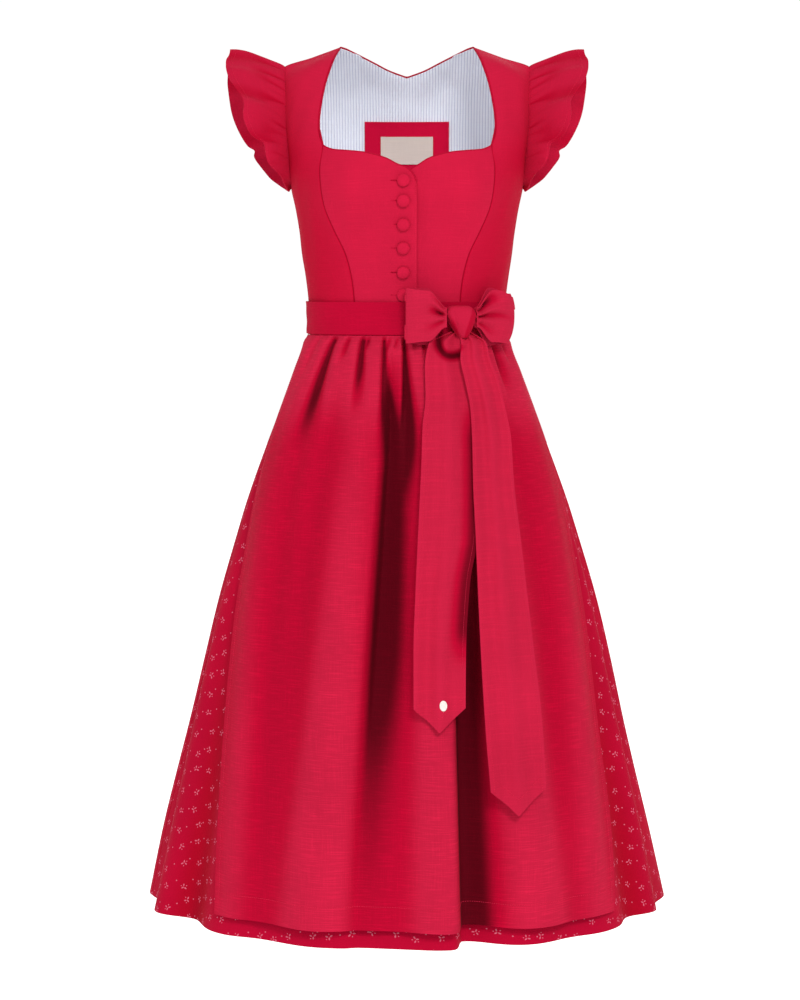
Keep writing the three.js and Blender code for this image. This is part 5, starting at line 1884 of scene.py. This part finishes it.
@dataclass
class Apron:
    """The apron: one width gathered into a band, with turned and stitched edges."""

    finishes: Wardrobe
    stitches: Stitches
    wall: float = 1.2
    rows: int = 118
    columns: int = 300
    top: float = -332.3
    bottom: float = -1001.0
    width: float = 760.0
    hem: float = 27.0
    side_hem: float = 9.0
    band: tuple[float, float] = (-293.8, -332.0)
    puff: float = 2.6
    puff_length: float = 110.0
    crease_start: float = 8.0
    crease_widen: float = 0.035
    steep_side: float = 0.6
    long_side: float = 1.6
    # depths at which the painted fold and crease shade is darkest, and the painted shade of the flat cloth
    deepest_fold: float = 29.0
    deepest_crease: float = 6.0
    flat_shade: float = 0.35
    crowding: float = 1.15
    stitch: Stitch = Stitch(2.7, 1.7, 0.3)
    deep: Array = field(init=False)

    def creases(self, x: Array, down: Array) -> Array:
        """Height of the creases that run down from the band.

        Args:
            x: Distance from the middle, in mm.
            down: Distance below the band, in mm.

        Returns:
            The height, below zero in a crease.
        """
        total = self.puff * smooth(down / self.crease_start) * (1 - smooth(down / self.puff_length))
        for c in APRON_CREASES:
            fade = 1 - smooth((down - 0.35 * c.length) / (0.85 * c.length))
            fade = smooth((down + 1) / self.crease_start) * fade
            spread = c.wide + self.crease_widen * down
            off = x - (c.x + c.lean * down / (1 + down / 320))
            spread = np.where(off < 0, self.steep_side, self.long_side) * spread
            total = total - c.depth * fade * bell(off, 0, spread)
        return total

    def surface(self, turn: Array, z: Array, share: Array) -> Array:
        """Points of the apron's outer face. How far each is darkened with painted shade is kept.

        Args:
            turn: Angle in radians.
            z: Height.
            share: Share of the way across the apron.

        Returns:
            The points.
        """
        edge = smooth(np.minimum(share, 1 - share) * 30)
        crease = self.creases(FORM.skirt_ring(turn, z, 6.0)[..., 0], self.top - z)
        ripple = 0.7 * wrinkles(share * 420, z * 0.14, length=38, seed=9) * smooth((-350 - z) / 90)
        out = FORM.apron_out(turn, z) + (crease + ripple) * edge
        ridge, trough = FORM.folds(APRON_FOLDS, turn, z)
        # painted shade: below the band the flat cloth is darkened, its ridges are left light, and its
        # troughs and creases are darkened most
        flat = (1 - smooth(ridge / 10)) * smooth((-380 - z) / 90)
        fold = kept(-trough / self.deepest_fold) ** 1.2
        self.deep = kept(self.flat_shade * flat + fold + kept(-crease / self.deepest_crease) * 0.85)
        return FORM.skirt_ring(turn, z, out)

    def build(self) -> None:
        """Make the apron, its band and its stitches."""
        share = clustered(self.columns, 340)[None, :]
        down = np.linspace(0, 1, self.rows) ** self.crowding
        z = mix(self.top, self.bottom, down)[:, None]
        turn = mix(-FORM.apron_edges("right", z), FORM.apron_edges("left", z), share) * DEG
        turn, z, share = np.broadcast_arrays(turn, z, share)
        points = self.surface(turn, z, share)
        uv = np.stack([(share - 0.5) * self.width, z], axis=-1) * MM
        sheet = Sheet("apron", points[::-1], self.wall, uv=uv[::-1], deep=self.deep[::-1])
        height = along(sheet.points, 0)
        k = int(np.argmin(np.abs(height[:, height.shape[1] // 2] - self.hem)))
        lifted = sheet.points + 0.15 * sheet.normals
        lines = [self.stitches.sew("apron_hem_stitches", lifted[k, 8:-8], self.stitch)]
        across = along(sheet.points, 1)
        for side, distance in ((Side.RIGHT, across), (Side.LEFT, across[:, -1:] - across)):
            order = slice(None, None, -side)
            line = np.array([[np.interp(self.side_hem, d[order], p[order, axis]) for axis in range(3)]
                             for d, p in zip(distance[2:-3], lifted[2:-3])])
            lines.append(self.stitches.sew(f"apron_{side.name.lower()}_stitches", line, self.stitch))
        dress(sheet.build(self.finishes.apron), ["apron"], sheet)
        band = waist_band("apron_waistband", -90, 90, self.band, SEAM_GAP, self.wall, crumple=0.0)
        dress(band.build(self.finishes.belt), ["apron_waistband"], band)


def waist_band(name: str, start: float, end: float, heights: tuple[float, float], inside: float,
               wall: float, crumple: float) -> Sheet:
    """A band round the waist.

    Args:
        name: Name of the piece.
        start: Its first turn in degrees.
        end: Its last turn.
        heights: Its top and its bottom.
        inside: How far its inner face is off the bodice.
        wall: Its thickness.
        crumple: How deep its drawn creases are.

    Returns:
        The band.
    """
    loop = end - start >= 360
    count = round((end - start) * 0.8)
    turn = np.linspace(start, end, count, endpoint=not loop)[None, :] * DEG
    z = np.linspace(heights[1], heights[0], 17)[:, None]
    turn, z = np.broadcast_arrays(turn, z)
    level = unit(FORM.body_normal(turn, np.maximum(z, BELT_BOTTOM + 1)) * LEVEL)
    rise = (z - heights[1]) / (heights[0] - heights[1])
    crease = np.zeros(turn.shape)
    if crumple:
        lean = 0.16 * np.sin(turn * 3 + 0.7) + 0.1 * np.sin(turn * 7)
        crease = crumple * np.sin(2 * math.pi * (1.6 * rise + lean)) * np.sin(math.pi * rise) ** 0.6
    points = FORM.body(turn, z) + level * (inside + wall + crease)[..., None]
    return Sheet(name, points, wall, loop=loop)


# Sash bow


@dataclass(frozen=True)
class LoopSize:
    """One loop of the bow: its root and tip seen from above, and its heights at both."""

    root: tuple[float, float]
    tip: tuple[float, float]
    tip_top: float
    tip_bottom: float
    root_top: float = -299.0
    root_bottom: float = -322.0
    root_half: float = 3.0
    fat: float = 9.0
    round: float = 0.0
    arch: float = 0.0


@dataclass(frozen=True)
class Pinch:
    """A crease of a bow loop that runs out from the knot.

    high is its share up the loop, depth its size in mm (above zero for a ridge), wide its half
    width as a share, and reach how far out it runs. front is 1 on the front wall and -1 on the back.
    """

    high: float
    depth: float
    wide: float
    reach: float
    front: int = 1


@dataclass(frozen=True)
class TailSize:
    """One hanging end of the sash.

    Its curl is a crescent hollow, also darkened with painted shade: an x, a z, a radius and a depth.
    seed is that of its ripples, and shade how far in from its far edge it is darkened as a painted
    shadow.
    """

    edges: tuple[TailEdge, ...]
    point: float
    curl: tuple[float, float, float, float]
    seed: int
    shade: float = 0.0
    pleat: float = 2.4
    pleats: float = 2.0


LOOPS = {
    "bow_loop_right": (
        LoopSize((45.9, -102.6), (-2, -110), -276.5, -340.5),
        (Pinch(0.64, -6.6, 0.085, 0.48), Pinch(0.80, 2.6, 0.075, 0.9), Pinch(0.93, -1.8, 0.05, 0.6),
         Pinch(0.44, 2.4, 0.08, 0.5), Pinch(0.30, -3.4, 0.08, 0.6), Pinch(0.12, 1.2, 0.06, 0.5),
         Pinch(0.6, 2.0, 0.1, 0.6, -1)),
    ),
    "bow_loop_left": (
        LoopSize((80.1, -90), (127, -60.4), -283, -342, round=0.14, arch=7.0),
        (Pinch(0.84, -7.0, 0.10, 0.55), Pinch(0.64, 3.0, 0.06, 1.1), Pinch(0.52, -4.2, 0.05, 1.0),
         Pinch(0.38, 2.2, 0.08, 0.8), Pinch(0.2, -2.6, 0.07, 0.5), Pinch(0.5, 2.0, 0.1, 0.6, -1)),
    ),
}
TAILS = {
    "sash_tail_right": TailSize((
        TailEdge(-328, 53, 64, 11.5), TailEdge(-340, 27, 67, 15), TailEdge(-370, 21.5, 74, 16),
        TailEdge(-401, 22, 80, 16.5), TailEdge(-438, 18, 83, 18), TailEdge(-473, 16.7, 84, 19),
        TailEdge(-555, 12.6, 83, 22), TailEdge(-613, 9.7, 73, 24), TailEdge(-689, 7, 68, 26),
        TailEdge(-751, 7, 67.2, 27.5)), 27, (54.5, -339, 17.0, 7.0), 51, 27.0),
    "sash_tail_left": TailSize((
        TailEdge(-327.9, 64, 77.5, 15.2), TailEdge(-340, 66.4, 96, 20), TailEdge(-358, 65.3, 100, 21.8),
        TailEdge(-385, 70.4, 110, 22.6), TailEdge(-417, 76, 117.5, 22.5), TailEdge(-451, 77.4, 123.7, 23.5),
        TailEdge(-496, 77.8, 126, 25), TailEdge(-563, 80.5, 133.3, 27), TailEdge(-670, 84.6, 145.4, 30),
        TailEdge(-773, 90.4, 157, 31.5), TailEdge(-844, 96.2, 161, 32.5)), 29, (61, -338, 7.0, 1.5), 57),
}


@dataclass
class Sash:
    """The sash: its wrap round the waist, the knot, two loops, two hanging ends and a small tag."""

    finishes: Wardrobe
    stitches: Stitches
    wall: float = 1.2
    belt: tuple[float, float] = (-292.8, -331.0)
    belt_inside: float = 1.8
    belt_wall: float = 1.4
    knot_place: tuple[float, float] = (57.8, -312.5)
    knot_half: tuple[float, float, float] = (18.5, 13.5, 19.0)
    knot_seat: float = 4.05
    knot_drop: float = 3.2
    knot_slant: float = 0.12
    tag_place: tuple[float, float] = (41, -748)
    tag_half: tuple[float, float] = (4.3, 6.0)
    tag_seat: float = 0.75
    stitch: Stitch = Stitch(2.7, 1.7, 0.22)

    def loop(self, name: str, size: LoopSize, pinches: Sequence[Pinch]) -> None:
        """Make one loop of the bow.

        Args:
            name: Name of the piece.
            size: Its places and heights.
            pinches: Its creases.
        """
        root, tip = np.array(size.root), np.array(size.tip)
        reach = float(np.linalg.norm(tip - root))
        way = (tip - root) / reach
        front = np.array([-way[1], way[0]])
        front = front if front[1] < 0 else -front
        turn = np.linspace(0, math.pi, 130)[None, :]
        high = np.linspace(0, 1, 52)[:, None]
        out = np.sin(turn)
        wall_side = -np.cos(turn)
        half = mix(size.root_half, size.fat, smooth(out * 1.2))
        crease = 0.4 * (1 - out**2) * np.cos(6 * math.pi * high)
        for pinch in pinches:
            fade = smooth(out / 0.12) * (1 - smooth((out - 0.25 * pinch.reach) / pinch.reach))
            near = smooth(wall_side * pinch.front * 2.5)
            wide = pinch.wide * (0.55 + 0.8 * out)
            crease = crease + pinch.front * pinch.depth * fade * near * bell(high, pinch.high, wide)
        ripple = 0.5 * wrinkles(out * reach * np.sign(wall_side), high * 55, length=30, seed=41)
        ripple = ripple * smooth(out / 0.3)
        across = wall_side * half + np.abs(wall_side) ** 0.5 * crease + ripple
        far = out * reach * (1 - size.round * np.abs(2 * high - 1.1) ** 3)
        x = root[0] + way[0] * far + front[0] * across
        y = root[1] + way[1] * far + front[1] * across
        spread = smooth(out / 0.46)
        curl = 2.5 * np.sin(math.pi * out) * wall_side
        low = mix(size.root_bottom, size.tip_bottom, spread) + curl
        top = mix(size.root_top, size.tip_top, spread)
        top = top - 3.0 * np.sin(math.pi * out) * np.maximum(wall_side, 0)
        top = top + size.arch * np.sin(math.pi * kept(out * 1.25 - 0.1))
        z = mix(low, top, high)
        points = np.stack(np.broadcast_arrays(x, y, z), axis=-1)
        outward = np.zeros_like(points)
        outward[..., 0] = front[0] * wall_side + way[0] * out
        outward[..., 1] = front[1] * wall_side + way[1] * out
        # painted shade in the loop's creases
        deep = kept(-crease * np.sign(wall_side) / 7) + 0 * points[..., 0]
        sheet = Sheet(name, points, self.wall, outward=outward, deep=deep)
        dress(sheet.build(self.finishes.sash), [name], sheet)

    def knot(self) -> None:
        """Make the knot: ribbon drawn round itself, wide above and narrow below."""
        x, z = self.knot_place
        turn = FORM.body_turn(x, z, False)
        side, up, out = upright(FORM.body_normal(turn, z) * LEVEL)
        half_x, half_y, half_z = self.knot_half
        centre = FORM.body(turn, z) + out * (self.knot_seat + half_y)
        rows, turns = 44, 72
        tilt = (np.arange(1, rows) / rows - 0.5)[:, None] * math.pi
        angle = (np.arange(turns) * 2 * math.pi / turns)[None, :]
        ring = signed_power(np.cos(tilt), 0.45)
        height = signed_power(np.sin(tilt), 0.85)
        taper = mix(0.28, 1.0, kept((height + 1.1) / 1.6) ** 0.9)
        a = half_x * ring * taper * signed_power(np.cos(angle), 0.7)
        b = half_y * ring * mix(0.7, 1.0, smooth(height + 0.9)) * signed_power(np.sin(angle), 0.6)
        c = half_z * height + 0 * angle
        face = np.maximum(0, np.sin(angle))
        fan = a / (half_x * taper)
        folds = 2.6 * bell(fan, 0.12, 0.42) - 1.6 * bell(fan - 0.2 * height, -0.75, 0.09)
        b = b + folds * face * (1 - 0.55 * height**2)
        sideways = (a - self.knot_slant * c)[..., None] * side
        points = centre + sideways + b[..., None] * out + (c - self.knot_drop)[..., None] * up
        vertices = np.concatenate([
            points.reshape(-1, 3), (centre + (-half_z - self.knot_drop) * up - 0.1 * half_z * side)[None],
            (centre + (half_z - self.knot_drop) * up + 0.1 * half_z * side)[None],
        ])
        obj = make_object("sash_knot", vertices, stacked_faces(rows - 1, turns, True))
        # painted shade: parts of the knot's front are darkened, towards one side and at the other side's
        # lower edge
        facet_shade = 0.46 * smooth((fan - 0.1 - 0.45 * height) / 0.3)
        dark = facet_shade + 0.5 * smooth((-fan - 0.7) / 0.2) * smooth(0.6 - height)
        shades = kept(dark * np.sign(face) + 0 * c)
        write_painted_shade(obj.data, np.concatenate([shades.ravel(), [0.0, 0.0]]))
        obj.data.materials.append(self.finishes.knot)
        dress(obj, ["sash_knot"])

    def tail_point(self, size: TailSize, x: Array, z: Array, across: Array, extra: Array) -> Array:
        """Points of a hanging end in front of the skirt.

        Args:
            size: The hanging end.
            x: Distance from the middle.
            z: Height.
            across: Share of the way across.
            extra: Small height to add.

        Returns:
            The points.
        """
        edges = Table(size.edges)
        pleat = size.pleat * np.cos(2 * math.pi * size.pleats * across)
        out = edges("out", z) + pleat + extra
        half = FORM.skirt_rings("half", z)
        return FORM.skirt_ring(FORM.skirt_turn(x * half / (half + out), z), z, out)

    def tail(self, name: str, size: TailSize) -> None:
        """Make one hanging end with its pointed tip and stitched edge.

        Args:
            name: Name of the piece.
            size: Its edges and folds.
        """
        edges = Table(size.edges)
        top, bottom = size.edges[0].z, size.edges[-1].z
        across = np.linspace(0, 1, 46)[None, :]
        share = (np.linspace(0, 1, 150)[:, None]) ** 1.2
        end = bottom - size.point * (1 - np.abs(2 * across - 1))
        z = mix(top, mix(bottom, end, smooth(share * 3 - 2)), share)
        level = np.maximum(bottom, z)
        x = mix(edges("near", level), edges("far", level), across)
        soft = 1.1 * wrinkles(across * 60, z * 0.12, length=30, seed=size.seed) * smooth((top - z) / 60)
        aside, above = x - size.curl[0], z - size.curl[1]
        far = np.hypot(aside, above) + 1e-6
        curl = bell(far, size.curl[2], 3.6) * smooth(0.4 - (0.6 * aside + 0.8 * above) / far)
        soft = soft - size.curl[3] * curl
        # painted shade in the crescent hollow, and a painted shadow along the far edge where the tail has
        # one
        shade = smooth((x - edges("far", level) + size.shade) / 22) * smooth((-395 - z) / 60)
        deep = kept(curl + (0.85 * shade * (1 - smooth((-660 - z) / 60)) if size.shade else 0.0))
        points = self.tail_point(size, x, z, across + 0 * z, soft)
        uv = np.stack(np.broadcast_arrays((across - 0.5) * 62, z), axis=-1) * MM
        sheet = Sheet(name, points[::-1], self.wall, uv=uv[::-1], deep=deep[::-1])
        lifted = sheet.points + 0.1 * sheet.normals
        hem = self.stitches.sew(f"{name}_stitches", np.concatenate(
            [lifted[:, 3][::-1], lifted[4, 4:-4], lifted[:, -4]]), self.stitch)
        dress(sheet.build(self.finishes.sash), [name], sheet)

    def tag(self) -> None:
        """Make the small bare tag by the end of the right tail."""
        size = TAILS["sash_tail_right"]
        x, z = self.tag_place
        edges = Table(size.edges)
        share = (x - edges("near", z)) / (edges("far", z) - edges("near", z))

        def cloth(turn: Array, level: Array) -> Array:
            """Points of the hanging end about the tag."""
            out = edges("out", z) + size.pleat * np.cos(2 * math.pi * size.pleats * share)
            return FORM.skirt_ring(turn, level, out)

        half = FORM.skirt_rings("half", z)
        turn = FORM.skirt_turn(x * half / (half + edges("out", z)), z)
        side, up, out = upright(FORM.normal_of(cloth, turn, z))
        centre = cloth(turn, z) + out * self.tag_seat
        rim = ((0.94, 0), (1.0, 0.25), (1.0, 1.1), (0.93, 1.45), (0.8, 1.3), (0.74, 1.2))
        axes = (side * self.tag_half[0], up * self.tag_half[1], out)
        obj = lathe("sash_charm", centre, axes, [(0, 0), *rim, (0, 1.25)], 48)
        obj.data.materials.append(self.finishes.tag)
        dress(obj, ["sash_charm"])

    def build(self) -> None:
        """Make every part of the sash."""
        belt = waist_band("sash_wrap", -180, 180, self.belt, self.belt_inside, self.belt_wall,
                          crumple=0.35)
        dress(belt.build(self.finishes.belt), ["sash_wrap"], belt)
        self.knot()
        for name, (size, pinches) in LOOPS.items():
            self.loop(name, size, pinches)
        for name, size in TAILS.items():
            self.tail(name, size)
        self.tag()


# Studio


@dataclass(frozen=True)
class SoftLight:
    """A large soft lamp that looks at the dress, sized in metres and watts."""

    name: str
    place: tuple[float, float, float]
    size: float
    power: float
    target: tuple[float, float, float] = (0.0, 0.0, -0.45)

    def build(self) -> None:
        """Hang the lamp."""
        lamp = bpy.data.lights.new(self.name, "AREA")
        lamp.energy = self.power
        lamp.shape = "SQUARE"
        lamp.size = self.size
        obj = add_object(self.name, lamp)
        obj.location = self.place
        obj.rotation_euler = (Vector(self.target) - Vector(self.place)).to_track_quat("-Z", "Y").to_euler()


@dataclass
class Studio:
    """Pale floor, white horizon, soft lamps and the camera."""

    floor_z: float = -1.40
    floor_size: float = 14.0
    camera_place: tuple[float, float, float] = (-0.0085, -3.1, -0.2576)
    camera_tilt: float = 5.094
    lens: float = 92.07
    backdrop: float = 1.02
    sky: float = 0.66
    lamps: tuple[SoftLight, ...] = (
        SoftLight("key_lamp", (0.9, -3.7, 1.7), 1.0, 88.0),
        SoftLight("fill_lamp", (-2.2, -3.0, 0.8), 1.8, 16.0),
        SoftLight("back_lamp", (0.6, 3.2, 1.6), 2.0, 40.0),
    )

    def world(self) -> None:
        """Make a soft pale sky that is whitest behind the dress."""
        world = bpy.data.worlds.new("studio_sky")
        bpy.context.scene.world = world
        world.use_nodes = True
        tree = world.node_tree
        where = tree.nodes.new("ShaderNodeTexCoord")
        parts = tree.nodes.new("ShaderNodeSeparateXYZ")
        tree.links.new(where.outputs["Generated"], parts.inputs[0])
        fade = tree.nodes.new("ShaderNodeMapRange")
        fade.interpolation_type = "SMOOTHSTEP"
        for socket, number in zip(fade.inputs[1:5], (0.2, 0.93, self.sky, self.backdrop)):
            socket.default_value = number
        tree.links.new(parts.outputs[1], fade.inputs[0])
        tree.links.new(fade.outputs[0], tree.nodes["Background"].inputs["Strength"])
        tree.nodes["Background"].inputs["Color"].default_value = (1.0, 1.0, 1.0, 1.0)

    def build(self) -> None:
        """Set up the studio."""
        self.world()
        half = self.floor_size * 1000
        z = self.floor_z * 1000
        corners = np.array([[-half, -half, z], [half, -half, z], [half, half, z], [-half, half, z]])
        floor = make_object("studio_floor", corners, [(0, 1, 2, 3)])
        floor.data.materials.append(StudioFloor().material())
        for lamp in self.lamps:
            lamp.build()
        camera = bpy.data.cameras.new("camera")
        camera.lens = self.lens
        camera.sensor_width = 36
        camera.sensor_fit = "AUTO"
        camera.clip_end = 200
        obj = add_object("camera", camera)
        obj.location = self.camera_place
        obj.rotation_euler = ((90 - self.camera_tilt) * DEG, 0, 0)
        bpy.context.scene.camera = obj
        bpy.context.scene.view_settings.view_transform = "Standard"


def main() -> None:
    """Build the dress and the studio."""
    logging.basicConfig(level=logging.INFO, format="%(name)s %(message)s")
    finishes = Wardrobe()
    stitches = Stitches(finishes.thread)
    bodice = Bodice(finishes)
    bodice.build()
    Closure(finishes, stitches, Stitches(finishes.piping)).build()
    NeckLabel(finishes, stitches).build()
    FlutterSleeve(finishes, stitches, bodice).build()
    Skirt(finishes).build()
    Apron(finishes, stitches).build()
    Sash(finishes, stitches).build()
    Studio().build()
    LOG.info("sizes written")


if __name__ == "__main__":
    main()
